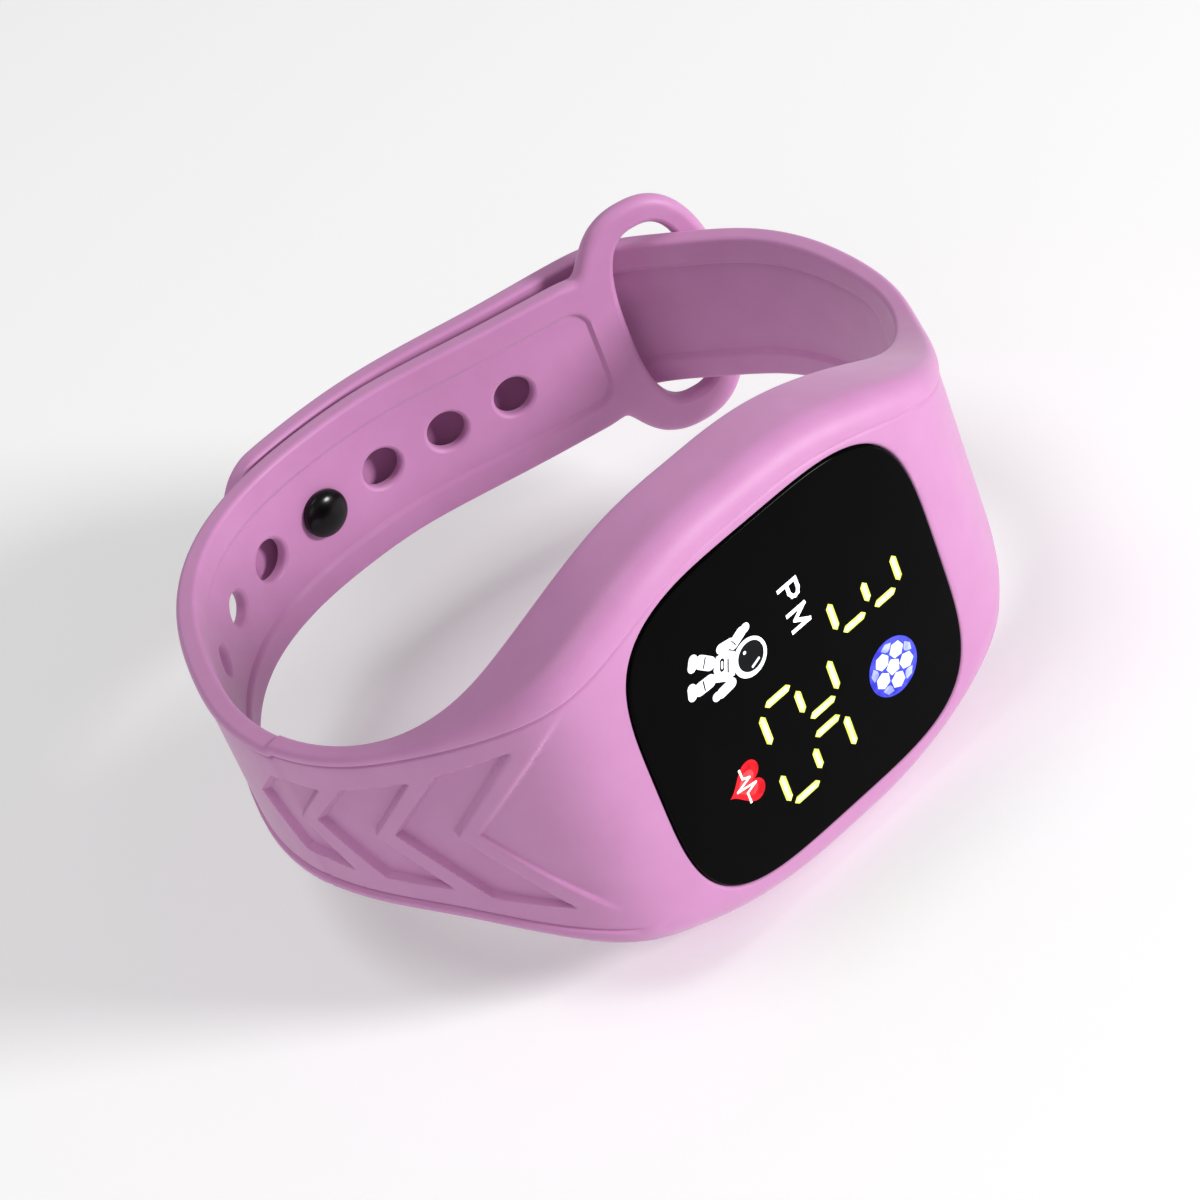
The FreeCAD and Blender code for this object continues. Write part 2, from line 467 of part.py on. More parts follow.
shell = doc.addObject("Part::Cut", "shell"); shell.Base = shell_sum; shell.Tool = shell_tools
keep(shell, "capsule_shell")
# seal in the groove
s_o = squircle_prism("seal_outer", D["shell_half_x"] - 0.35, D["shell_half_z"] - 0.35, sb - D["seal_deep"], sb)
s_i = squircle_prism("seal_inner", D["shell_half_x"] - 0.35 - D["seal_wide"], D["shell_half_z"] - 0.35 - D["seal_wide"], sb - D["seal_deep"] - 0.5, sb + 1)
seal = doc.addObject("Part::Cut", "seal"); seal.Base = s_o; seal.Tool = s_i
keep(seal, "cover_seal")
# back cover with openings for the sensor glass, the two charging pins and the screws
cv0 = squircle_prism("cover_plate", D["shell_half_x"], D["shell_half_z"], sb, sb + D["cover_thick"])
ct = D["cover_thick"]
cover_holes = [cylinder("cover_sensor_hole", D["glass_rad"] + 0.05, 3, D["pulse_cx"], sb + 2, D["pulse_cz"])]
PINS = [(D["pin_cx"], D["pin_gap"] / 2), (D["pin_cx"], -D["pin_gap"] / 2)]
for i, (x, z) in enumerate(PINS, 1):
    cover_holes.append(cylinder("cover_pin_hole_%d" % i, D["pin_rad"] + 0.03, 3, x, sb + 2, z))
for i, (x, z) in enumerate(SCREWS, 1):
    cover_holes.append(cylinder("cover_screw_hole_%d" % i, D["screw_rad"] + 0.05, 3, x, sb + 2, z))
    cover_holes.append(cylinder("cover_screw_sink_%d" % i, D["screw_head_rad"] + 0.05, 1.0, x, sb + ct + 0.5, z))
cover_tools = doc.addObject("Part::MultiFuse", "cover_tools"); cover_tools.Shapes = cover_holes
cover = doc.addObject("Part::Cut", "cover"); cover.Base = cv0; cover.Tool = cover_tools
keep(cover, "back_cover")
# screws
scr = []
for i, (x, z) in enumerate(SCREWS, 1):
    head = cylinder("screw_head_%d" % i, D["screw_head_rad"], 0.48, x, sb + ct, z, "dims.screw_head_rad")
    shank = cylinder("screw_shank_%d" % i, D["screw_rad"], 3.6, x, sb + ct - 0.4, z, "dims.screw_rad")
    s1 = doc.addObject("Part::Fuse", "screw_%d" % i); s1.Base = head; s1.Tool = shank
    slot = box("screw_slot_%d" % i, 1.5, 0.3, 0.25, x, sb + ct + 0.05, z)
    s2 = doc.addObject("Part::Cut", "screw_slotted_%d" % i); s2.Base = s1; s2.Tool = slot
    scr.append(s2)
screws = doc.addObject("Part::Compound", "screws"); screws.Links = scr
keep(screws, "cover_screws")

# seven-segment bars: three digits that light and the blank tens-of-hours digit
LONG, WIDE = D["bar_long"], D["bar_wide"]
def digit(u0, v0):
    # u runs along the reading direction (-Z), v is up (+X); a digit is 4.3 wide and 7.6 tall
    w_, h_ = 4.3, 7.6
    a = WIDE / 2
    hbar = [(u0 + w_ / 2, v0 + h_ - a), (u0 + w_ / 2, v0 + h_ / 2), (u0 + w_ / 2, v0 + a)]
    vbar = [(u0 + a, v0 + h_ * 0.75), (u0 + w_ - a, v0 + h_ * 0.75), (u0 + a, v0 + h_ * 0.25), (u0 + w_ - a, v0 + h_ * 0.25)]
    return [(u, v, "h") for u, v in hbar] + [(u, v, "v") for u, v in vbar]
DIGITS = [(-9.5, 2.6), (-4.0, 2.6), (0.2, -7.4), (6.4, -7.3)]
BARS = [b for d_ in DIGITS for b in digit(*d_)]
gt = D["guide_thick"]
guide_y = shell_front + gt            # wrist-side face of the light guide
bars, slots, leds = [], [], []
for i, (u, v, k) in enumerate(BARS, 1):
    # capsule-centred x = v - module offset, z = -u
    x, z = v - mx, -u
    bx, bz = (WIDE, 2.6) if k == "h" else (LONG, WIDE)
    bars.append(box("bar_%d" % i, bx, bz, gt - 0.1, x, guide_y - 0.05, z))
    slots.append(box("bar_slot_%d" % i, bx + 0.1, bz + 0.1, gt + 2, x, guide_y + 1, z))
    leds.append(box("led_%d" % i, 0.6, 1.0, 0.35, x, D["board_y"] - D["board_thick"], z) if k == "h" else
                box("led_%d" % i, 1.0, 0.6, 0.35, x, D["board_y"] - D["board_thick"], z))
ICONS = [("icon_meridiem", -0.6, 5.6, 1.6), ("icon_figure", -7.6, 5.4, 3.0), ("icon_ball", 6.6, -6.6, 2.6), ("icon_heart", -10.7, -5.6, 2.3)]
icons = []
for i, (nm, v, z, r) in enumerate(ICONS, 1):
    x = v - mx
    icons.append(cylinder(nm, r, gt - 0.1, x, guide_y - 0.05, z))
    slots.append(cylinder(nm + "_slot", r + 0.05, gt + 2, x, guide_y + 1, z))
    leds.append(box("icon_led_%d" % i, 1.2, 1.2, 0.35, x, D["board_y"] - D["board_thick"], z))
slots.append(cylinder("touch_hole", D["coil_rad"] + 0.12, gt + 2, D["coil_cx"], guide_y + 1, 0))
gblock = extrude("guide_block", feature("guide_outline", rrect_face(D["guide_half_x"], D["guide_half_z"], gr, shell_front)), Vector(0, 1, 0), gt)
gblock.setExpression("LengthFwd", "dims.guide_thick")
slot_all = doc.addObject("Part::MultiFuse", "guide_slots"); slot_all.Shapes = slots
guide = doc.addObject("Part::Cut", "guide"); guide.Base = gblock; guide.Tool = slot_all
keep(guide, "light_guide")
bar_c = doc.addObject("Part::Compound", "bars"); bar_c.Links = bars
keep(bar_c, "digit_segments")
ic = doc.addObject("Part::Compound", "icons"); ic.Links = icons
keep(ic, "icon_diffusers")
lc = doc.addObject("Part::Compound", "leds"); lc.Links = leds
keep(lc, "display_leds")

# board and what is on it
by, bt = D["board_y"], D["board_thick"]
pad("main_board", D["board_half_x"], D["board_half_z"], bt, 0, by, 0, D["board_round"],
    ("2 * dims.board_half_x", "2 * dims.board_half_z"), thick_expr="dims.board_thick")
cs_ = D["chip_side"] / 2
pad("controller_chip", cs_, cs_, D["chip_thick"], 4.6, by + D["chip_thick"], 9.6, 0.0, ("dims.chip_side", "dims.chip_side"), thick_expr="dims.chip_thick")
pad("motion_sensor", D["sensor_side"] / 2, D["sensor_side"] / 2, 0.8, 10.4, by + 0.8, 6.4, 0.0, ("dims.sensor_side", "dims.sensor_side"))
pad("timing_crystal", D["crystal_long"] / 2, D["crystal_wide"] / 2, D["crystal_thick"], 3.2, by + D["crystal_thick"], -11.5, 0.35,
    ("dims.crystal_long", "dims.crystal_wide"), thick_expr="dims.crystal_thick")
PASS = [(9.2, 9.8), (10.6, 9.8), (8.4, 11.6), (9.8, -11.4), (8.3, -11.4), (6.8, -11.4), (12.6, 4.4), (12.6, -4.2)]
pc = doc.addObject("Part::Compound", "passives")
pc.Links = [box("passive_%d" % i, 1.0, 0.5, 0.4, x, by + 0.4, z) for i, (x, z) in enumerate(PASS, 1)]
keep(pc, "board_passives")
pad("battery_pad", 5.6, 9.5, D["pad_thick"], D["battery_cx"], by + D["pad_thick"], 0, 0.0, thick_expr="dims.pad_thick")
pad("battery_cell", D["battery_x"] / 2, D["battery_z"] / 2, D["battery_thick"], D["battery_cx"], by + D["pad_thick"] + D["battery_thick"], 0, 1.0,
    ("dims.battery_x", "dims.battery_z"), thick_expr="dims.battery_thick")
tabs = doc.addObject("Part::Compound", "tabs")
edge = D["battery_cx"] + D["battery_x"] / 2
tabs.Links = [box("tab_%d" % i, 1.6, 1.2, 0.2, edge + 0.8, by + 0.2, z) for i, z in enumerate((-9.4, 9.0), 1)]
keep(tabs, "battery_tabs")

# coin vibration motor
mr, mt, mw = D["motor_rad"], D["motor_tall"], D["motor_wall"]
mcx, mcz = D["motor_cx"], D["motor_cz"]
can_o = cylinder("can_outer", mr, mt - 0.3, mcx, by + mt, mcz, "dims.motor_rad")
can_i = cylinder("can_inner", mr - mw, mt - 0.3 - mw + 0.5, mcx, by + mt - mw, mcz)
can = doc.addObject("Part::Cut", "can"); can.Base = can_o; can.Tool = can_i
keep(can, "motor_can")
base = cylinder("motor_plate", mr, 0.3, mcx, by + 0.3, mcz, "dims.motor_rad")
base_hole = cylinder("motor_plate_bore", D["axle_rad"] + 0.02, 2, mcx, by + 1, mcz)
basec = doc.addObject("Part::Cut", "motor_plate_cut"); basec.Base = base; basec.Tool = base_hole
keep(basec, "motor_base")
axle = cylinder("axle", D["axle_rad"], mt - mw, mcx, by + mt - mw, mcz, "dims.axle_rad")
keep(axle, "motor_axle")
rt = D["rotor_tall"]
ro = cylinder("rotor_disc", D["rotor_rad"], rt, mcx, by + 0.3 + 0.35 + rt, mcz, "dims.rotor_rad")
rb = cylinder("rotor_bore", D["axle_rad"] + 0.06, rt + 2, mcx, by + 0.3 + 0.35 + rt + 1, mcz)
rcut = box("rotor_flat", 2 * D["rotor_rad"] + 1, D["rotor_rad"], rt + 2, mcx, by + 0.3 + 0.35 + rt + 1, mcz + 0.9 + D["rotor_rad"] / 2)
rtools = doc.addObject("Part::MultiFuse", "rotor_tools"); rtools.Shapes = [rb, rcut]
rotor = doc.addObject("Part::Cut", "rotor"); rotor.Base = ro; rotor.Tool = rtools
keep(rotor, "motor_rotor")

# pulse sensor behind its glass, with a flexible tail to the board
pt = D["pulse_thick"]
gx = cylinder("glass_disc", D["glass_rad"], ct, D["pulse_cx"], sb + ct, D["pulse_cz"], "dims.glass_rad", "dims.cover_thick")
keep(gx, "sensor_glass")
pad("pulse_sensor", D["pulse_x"] / 2, D["pulse_z"] / 2, pt, D["pulse_cx"], sb, D["pulse_cz"], 0.0, ("dims.pulse_x", "dims.pulse_z"), thick_expr="dims.pulse_thick")
f1 = box("flex_flat", 2.4, 3.4, 0.15, D["pulse_cx"], sb - pt, D["pulse_cz"])
f2 = box("flex_drop", 2.4, 0.15, (sb - pt) - by, D["pulse_cx"], sb - pt, D["pulse_cz"] + 1.7 - 0.075)
flex = doc.addObject("Part::Fuse", "flex"); flex.Base = f1; flex.Tool = f2
keep(flex, "sensor_flex")
# charging pins
pins = doc.addObject("Part::Compound", "pins")
pins.Links = [cylinder("pin_%d" % i, D["pin_rad"], (sb + ct) - by, x, sb + ct, z, "dims.pin_rad") for i, (x, z) in enumerate(PINS, 1)]
keep(pins, "charging_pins")
# touch contact between board and lens
coil_len = (by - bt) - lens_back
co = cylinder("coil_outer", D["coil_rad"], coil_len, D["coil_cx"], by - bt, 0, "dims.coil_rad")
ci = cylinder("coil_inner", D["coil_bore"], coil_len + 2, D["coil_cx"], by - bt + 1, 0, "dims.coil_bore")
coil = doc.addObject("Part::Cut", "coil"); coil.Base = co; coil.Tool = ci
keep(coil, "touch_contact")

doc.recompute()
bad = []
for o in doc.Objects:
    if "Invalid" in o.State or "Error" in o.State:
        bad.append((o.Name, o.State))
for o, n in KEEP:
    if o.Shape.isNull() or not o.Shape.isValid() or not o.Shape.Solids:
        bad.append((n, "shape"))
if bad:
    raise RuntimeError("failed objects: %r" % bad)
os.makedirs("parts", exist_ok=True)
allbox = FreeCAD.BoundBox()
for o, n in KEEP:
    o.Shape.exportStep("parts/%s.step" % n)
    allbox.add(o.Shape.BoundBox)
    b = o.Shape.BoundBox
    print("%-18s solids %2d vol %9.2f  x %7.2f %7.2f  y %7.2f %7.2f  z %7.2f %7.2f" % (n, len(o.Shape.Solids), o.Shape.Volume, b.XMin, b.XMax, b.YMin, b.YMax, b.ZMin, b.ZMax))
print("whole", allbox)
print("centre", allbox.Center, "nodes", len(KEEP))
print("stud point", ps, ns, "inner_to_end", inner_to_end)
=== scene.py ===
import bpy, bmesh, math
import numpy as np
from mathutils import Vector, Matrix


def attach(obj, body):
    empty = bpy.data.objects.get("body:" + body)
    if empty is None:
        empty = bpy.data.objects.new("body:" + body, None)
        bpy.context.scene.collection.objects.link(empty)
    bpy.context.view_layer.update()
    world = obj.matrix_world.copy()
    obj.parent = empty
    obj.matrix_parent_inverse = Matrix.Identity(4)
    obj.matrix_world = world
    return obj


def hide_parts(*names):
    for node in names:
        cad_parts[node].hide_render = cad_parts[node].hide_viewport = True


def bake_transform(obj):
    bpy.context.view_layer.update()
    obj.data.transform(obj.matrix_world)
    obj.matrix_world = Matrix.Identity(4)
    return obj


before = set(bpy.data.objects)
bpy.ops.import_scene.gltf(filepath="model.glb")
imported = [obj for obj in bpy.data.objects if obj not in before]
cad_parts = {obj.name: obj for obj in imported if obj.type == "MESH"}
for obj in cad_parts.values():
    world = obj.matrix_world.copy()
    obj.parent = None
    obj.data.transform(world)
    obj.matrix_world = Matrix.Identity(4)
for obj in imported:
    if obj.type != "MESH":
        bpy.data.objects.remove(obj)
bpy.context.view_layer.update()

# plan coordinates of the band are millimetres before this shift into the row frame
SX, SY, MZ = 0.2634, -4.9498, 19.6
MX = -1.73          # display centre in x
FRONT = -26.9       # outer face of the case in y

# ---------------------------------------------------------------- small helpers
def spline(P, n):
    """Natural cubic spline through the points: n samples evenly spaced by length, tangents, lengths."""
    P = np.asarray(P, float)
    d = np.r_[0, np.cumsum(np.sqrt((np.diff(P, axis=0) ** 2).sum(1)))]
    m = len(P); h = np.diff(d)
    A = np.zeros((m, m)); B = np.zeros((m, P.shape[1])); A[0, 0] = A[-1, -1] = 1
    for i in range(1, m - 1):
        A[i, i - 1] = h[i - 1]; A[i, i] = 2 * (h[i - 1] + h[i]); A[i, i + 1] = h[i]
        B[i] = 6 * ((P[i + 1] - P[i]) / h[i] - (P[i] - P[i - 1]) / h[i - 1])
    M = np.linalg.solve(A, B)
    t = np.linspace(0, d[-1], max(n, 6000))
    k = np.clip(np.searchsorted(d, t, side="right") - 1, 0, m - 2)
    a = (d[k + 1] - t)[:, None]; b = (t - d[k])[:, None]; hh = h[k][:, None]
    Q = (M[k] * a ** 3 + M[k + 1] * b ** 3) / (6 * hh) + (P[k] / hh - M[k] * hh / 6) * a + (P[k + 1] / hh - M[k + 1] * hh / 6) * b
    L = np.r_[0, np.cumsum(np.sqrt((np.diff(Q, axis=0) ** 2).sum(1)))]
    s = np.linspace(0, L[-1], n)
    q = np.stack([np.interp(s, L, Q[:, i]) for i in range(P.shape[1])], 1)
    T = np.gradient(q, s, axis=0)
    T /= np.linalg.norm(T, axis=1)[:, None]
    return q, T, s

def smooth01(x):
    x = np.clip(x, 0, 1)
    return x * x * (3 - 2 * x)

def mesh_object(name, verts, faces):
    me = bpy.data.meshes.new(name)
    v = (np.asarray(verts, float) + np.array([SX, SY, MZ])) / 1000.0
    me.from_pydata(v.tolist(), [], [list(map(int, f)) for f in faces])
    me.update()
    ob = bpy.data.objects.new(name, me)
    bpy.context.collection.objects.link(ob)
    return ob

def fix_normals(ob, dist=None):
    bm = bmesh.new(); bm.from_mesh(ob.data)
    if dist:
        bmesh.ops.remove_doubles(bm, verts=bm.verts, dist=dist)
    bmesh.ops.recalc_face_normals(bm, faces=bm.faces)
    bm.to_mesh(ob.data); bm.free()

def smooth_shade(ob, angle=35.0):
    bm = bmesh.new(); bm.from_mesh(ob.data)
    lim = math.radians(angle)
    for f in bm.faces:
        f.smooth = True
    for e in bm.edges:
        e.smooth = not (len(e.link_faces) == 2 and e.calc_face_angle(0.0) > lim)
    bm.to_mesh(ob.data); bm.free()

def grid_faces(nu, nv):
    i = np.arange(nu - 1)[:, None]; j = np.arange(nv)[None, :]
    a = i * nv + j; b = i * nv + (j + 1) % nv
    c = (i + 1) * nv + (j + 1) % nv; d = (i + 1) * nv + j
    return np.stack([a, b, c, d], -1).reshape(-1, 4).tolist()

# ---------------------------------------------------------------- plan curves (the same as in the CAD model)
IN_FRONT = [(-34.44, 0.0), (-32.9, -6.4), (-29.4, -12.2), (-24.4, -16.2), (-18.6, -18.2), (-10.0, -18.9),
            (-1.73, -18.95), (7.0, -18.9), (15.6, -18.4), (22.3, -16.4), (27.9, -12.1), (31.8, -6.2), (33.4, 0.0)]
OUT_FRONT = [(-36.35, 0.0), (-34.9, -6.2), (-31.9, -12.9), (-26.6, -21.8), (-22.9, -25.3), (-17.8, -26.75),
             (-10.0, -26.9), (-1.73, -26.9), (7.0, -26.9), (14.4, -26.75), (20.0, -25.4), (24.9, -21.0), (30.1, -13.1), (33.7, -6.3), (35.4, 0.0)]
IN_A = [(-34.44, 0.0), (-34.1, 6.5), (-31.9, 13.3), (-25.1, 24.6), (-19.9, 28.75), (-12.9, 31.15), (-6.0, 31.5),
        (0.0, 30.85), (5.6, 29.2), (12.2, 26.9), (19.5, 24.6), (24.1, 23.14)]
IN_B = [(33.4, 0.0), (34.0, 7.0), (32.8, 13.8), (31.1, 17.4), (28.9, 21.2), (26.7, 24.6), (24.7, 26.5), (22.3, 27.5)]
IN_END = [(22.3, 27.5), (18.5, 28.55), (13.0, 30.05), (6.5, 32.1), (0.6, 33.5), (-6.0, 34.0), (-9.8, 33.9), (-14.2, 33.35), (-16.0, 32.95)]
R0 = np.array([19.5, 24.6]); RA = math.radians(-17.6)
RD = np.array([math.cos(RA), math.sin(RA)]); RN = np.array([-RD[1], RD[0]])
RING_TIP = 15.9
HOLES = [(12.22, 26.63), (5.6, 29.01), (-1.06, 31.05), (-8.08, 31.64), (-15.1, 30.6), (-21.07, 28.13), (-26.51, 23.5)]
TK, WS, TIP_R = 2.0, 8.0, 5.5
OUTLINE = [(0, 19.62), (4, 19.55), (7.5, 19.2), (11, 18.42), (16, 16.5), (20, 14.3), (24, 11.75), (28, 9.65), (32, 8.35), (36.5, 8.0), (39.5, 8.0), (44, 8.0)]
_oq, _, _ = spline([(-u, w) for u, w in OUTLINE[:0:-1]] + OUTLINE, 3000)
_oq[:, 1] = np.minimum(_oq[:, 1], 19.6)

ring_pts = [tuple(R0 + RD * v) for v in (RING_TIP, 12.0, 8.0)]
q, T, s = spline(ring_pts + IN_A[::-1] + IN_FRONT[1:] + IN_B[1:] + IN_END[1:], 8000)
N = np.stack([T[:, 1], -T[:, 0]], 1)
STOT = s[-1]

def s_at(pt, lo=0, hi=1e9):
    d = np.hypot(q[:, 0] - pt[0], q[:, 1] - pt[1]) + np.where((s < lo) | (s > hi), 1e6, 0)
    return float(s[np.argmin(d)])

S_R0 = s_at(R0, 0, 40)
S_LEFT = s_at((-34.44, 0.0))
S_CASE = s_at((MX, -18.95))
S_RIGHT = s_at((33.4, 0.0), S_CASE)
S_SEAM = s_at((28.6, 21.7), S_RIGHT)
S_HINGE = s_at((22.3, 27.5), S_RIGHT)
S_JOIN = s_at((-34.25, 5.0), 30, S_CASE)
HOLE_S = [s_at(p, 0, S_LEFT) for p in HOLES]

oq, _, _ = spline([(-36.5, 4.5), (-36.44, 2.0)] + OUT_FRONT[1:-1] + [(35.65, 1.6), (36.0, 4.6)], 4000)
def _thickness(ss):
    t = np.full(len(ss), TK)
    px, py = np.interp(ss, s, q[:, 0]), np.interp(ss, s, q[:, 1])
    nx, ny = np.interp(ss, s, N[:, 0]), np.interp(ss, s, N[:, 1])
    for i in np.where((ss > S_LEFT) & (ss < S_RIGHT))[0]:
        dx = oq[:, 0] - px[i]; dy = oq[:, 1] - py[i]
        along = dx * nx[i] + dy * ny[i]; across = np.abs(dx * ny[i] - dy * nx[i])
        across[along < 0.3] = 1e9
        t[i] = along[np.argmin(across)]
    return t
S_GRID = np.linspace(0, STOT, 1600)
T_GRID = _thickness(S_GRID)
for _ in range(10):
    T_GRID[1:-1] = 0.25 * T_GRID[:-2] + 0.5 * T_GRID[1:-1] + 0.25 * T_GRID[2:]
def thick(ss):
    return np.interp(ss, S_GRID, T_GRID)

def half_width(ss):
    ss = np.asarray(ss, float)
    px = np.interp(ss, s, q[:, 0])
    w = np.where((ss > S_LEFT) & (ss < S_RIGHT), np.interp(px - MX, _oq[:, 0], _oq[:, 1]), WS)
    sr = S_R0 - ss                                   # along the ring line, from the strap towards its far tip
    u = np.clip(np.abs((sr - 8.6) / 7.3), 0, 1)
    oval = 12.8 * (1 - u ** 2.4) ** (1 / 2.4)
    strap = np.where(sr > 5.0, WS * np.clip(1 - (sr - 5.0) / 4.0, 0, 1), WS)
    w = np.where(sr > -3, (strap ** 8 + oval ** 8) ** (1 / 8.0), w)
    e = ss - (STOT - TIP_R)                          # rounded corners of the free end
    w = np.where(e > 0, WS - TIP_R + np.sqrt(np.clip(TIP_R ** 2 - e ** 2, 0, None)), w)
    return np.maximum(w, 0.01)

def round_over(d, r):
    """how far a face with edge radius r drops at distance d from the outline"""
    x = np.clip(1 - d / np.maximum(r, 1e-6), 0, 1)
    return r * (1 - np.sqrt(np.clip(1 - x * x, 0, 1)))

def outline_distance(S, Z, lo, hi):
    """distance to the outline (path length, half width) between lo and hi"""
    a = np.unique(np.r_[np.linspace(lo, hi, 260), lo + (hi - lo) * np.linspace(0, 1, 60) ** 3, hi - (hi - lo) * np.linspace(0, 1, 60) ** 3])
    b = half_width(a)
    pts = np.stack([a, b], 1)
    if hi >= STOT - 0.01:
        pts = np.r_[pts, [[STOT, 0.0]]]
    out = np.full(S.shape, 1e9)
    for i in range(S.shape[0]):
        near = np.abs(pts[:, 0] - S[i, 0]) < 14
        P = pts[near]
        A, B = P[:-1], P[1:]
        E = B - A; L2 = (E ** 2).sum(1) + 1e-12
        wx = S[i][:, None] - A[None, :, 0]; wz = np.abs(Z[i])[:, None] - A[None, :, 1]
        t = np.clip((wx * E[:, 0] + wz * E[:, 1]) / L2, 0, 1)
        out[i] = np.sqrt((wx - t * E[:, 0]) ** 2 + (wz - t * E[:, 1]) ** 2).min(1)
    return out

# ---------------------------------------------------------------- surface detail
CHEV = [
    [(-15.7, 6.7), (-21.8, 8.9), (-15.0, 0.0), (-21.6, -8.4), (-15.8, -6.9), (-9.9, 0.0)],
    [(-6.6, 4.6), (-12.9, 5.8), (-7.8, -0.3), (-12.6, -6.0), (-7.1, -5.2), (-2.4, 0.4)],
    [(1.2, 4.2), (-4.0, 4.2), (-0.1, 0.1), (-3.8, -4.9), (1.2, -4.0), (4.65, 1.0)],
]
VLINE = [(-25.4, 12.0), (-16.8, 0.17), (-24.1, -9.35)]

def poly_sd(P, x, y):
    P = np.asarray(P, float); n = len(P)
    d = np.full(x.shape, 1e9); ins = np.zeros(x.shape, bool)
    for i in range(n):
        a = P[i]; b = P[(i + 1) % n]; e = b - a
        wx = x - a[0]; wy = y - a[1]
        t = np.clip((wx * e[0] + wy * e[1]) / (e @ e), 0, 1)
        d = np.minimum(d, np.hypot(wx - e[0] * t, wy - e[1] * t))
        ins ^= ((a[1] > y) != (b[1] > y)) & (x < (b[0] - a[0]) * (y - a[1]) / (b[1] - a[1] + 1e-12) + a[0])
    return np.where(ins, -d, d)

def seg_d(a, b, x, y):
    a = np.array(a, float); e = np.array(b, float) - a
    wx = x - a[0]; wy = y - a[1]
    t = np.clip((wx * e[0] + wy * e[1]) / (e @ e), 0, 1)
    return np.hypot(wx - e[0] * t, wy - e[1] * t)

# path length of the outer left face against y: the arrow pockets are drawn in y and z
_m = (s > S_LEFT - 16) & (s < S_CASE - 12)
_so = s[_m]
_to = thick(_so)
_oy = q[_m, 1] + N[_m, 1] * _to
_ox = q[_m, 0] + N[_m, 0] * _to
_al = np.r_[0, np.cumsum(np.hypot(np.diff(_ox), np.diff(_oy)))]
_al -= np.interp(0.0, -_oy, _al)
def arc_of_y(y):
    return float(np.interp(-y, -_oy, _al))
CHEV_A = [[(arc_of_y(y), z) for y, z in poly] for poly in CHEV]
V_A = [(arc_of_y(y), z) for y, z in VLINE]

def rim(S, Z, W):
    """raised rim with a fine groove beside it, on the outer face"""
    aw = smooth01((W - 9.0) / 8.0)
    h = 0.9 + 1.85 * aw
    e = W - np.abs(Z)
    on = smooth01((S - (S_R0 + 1.5)) / 4.0)
    return on * ((0.25 - 0.17 * aw) * smooth01((e - h) / 0.28) + (0.22 - 0.06 * aw) * np.exp(-((e - h - 0.16) / 0.17) ** 2))

def chevrons(S, Z):
    A = np.interp(S, _so, _al)
    near = (S > S_LEFT - 9) & (S < S_LEFT + 36)
    dep = np.zeros_like(S)
    for poly in CHEV_A:
        sd = poly_sd(poly, A, Z)
        dep = np.maximum(dep, 0.68 * smooth01((0.12 - sd) / 0.32))
    zz = np.clip(Z, V_A[2][1], V_A[0][1])
    av = np.where(zz > V_A[1][1],
                  V_A[1][0] + (V_A[0][0] - V_A[1][0]) * (zz - V_A[1][1]) / (V_A[0][1] - V_A[1][1]),
                  V_A[1][0] + (V_A[2][0] - V_A[1][0]) * (V_A[1][1] - zz) / (V_A[1][1] - V_A[2][1]))
    dl = np.minimum(seg_d(V_A[0], V_A[1], A, Z), seg_d(V_A[1], V_A[2], A, Z))
    span = smooth01((12.6 - Z) / 4.0) * smooth01((Z + 10.0) / 3.0)
    hollow = 0.34 * smooth01(dl / 0.3) * np.exp(-dl / 4.5) * span
    dep = np.maximum(dep, np.where(A > av, hollow, 0))
    return np.where(near, dep, 0)

def channel(S, Z, s0, s1, half=5.2, depth=0.35, r=2.0):
    c = 0.5 * (s0 + s1); hl = 0.5 * (s1 - s0)
    dx = np.abs(S - c) - (hl - r); dz = np.abs(Z) - (half - r)
    sd = np.hypot(np.maximum(dx, 0), np.maximum(dz, 0)) + np.minimum(np.maximum(dx, dz), 0) - r
    return depth * smooth01((0.2 - sd) / 0.4)

CH_A0 = s_at((21.0, 24.05), 0, 40)
CH_A1 = s_at((-34.0, -3.0))
CH_B0 = s_at((32.8, -4.0), S_CASE)
def inner_band(S, Z, W):
    return channel(S, Z, CH_A0, CH_A1) + channel(S, Z, CH_B0, S_HINGE + 60)
def outer_band(S, Z, W):
    return rim(S, Z, W) + chevrons(S, Z)

def radius_in(x):
    return 0.42 + 0.48 * smooth01((S_R0 - x + 0.5) / 3.0)
def radius_out(x):
    w = half_width(x)
    return 0.55 + 0.4 * smooth01((S_R0 - x + 0.5) / 3.0) + 2.15 * smooth01((w - 9.0) / 9.0) * ((x > S_LEFT) & (x < S_RIGHT))
PATH_S, PATH_X = np.array(s, float), np.array(q, float)[:, 0]
def radius_low(x):
    """the lower outer edge of the case is rounder than the upper one"""
    w = half_width(x)
    near = smooth01((np.interp(x, PATH_S, PATH_X) + 24.0) / 8.0)
    return radius_out(x) + near * (3.6 * smooth01((w - 8.1) / 4.5) - 2.15 * smooth01((w - 9.0) / 9.0)) * ((x > S_LEFT) & (x < S_RIGHT))

# ---------------------------------------------------------------- the swept skin
def stations(a, b, zones, coarse=0.6):
    out = [a]
    while out[-1] < b:
        x = out[-1]; st = coarse
        for lo, hi, z in zones:
            if lo <= x < hi:
                st = min(st, z)
            elif x < lo < x + st:
                st = max(lo - x, 0.05)
        out.append(x + st)
    out[-1] = b
    if out[-1] - out[-2] < 0.02:
        out.pop(-2)
    return np.array(out)

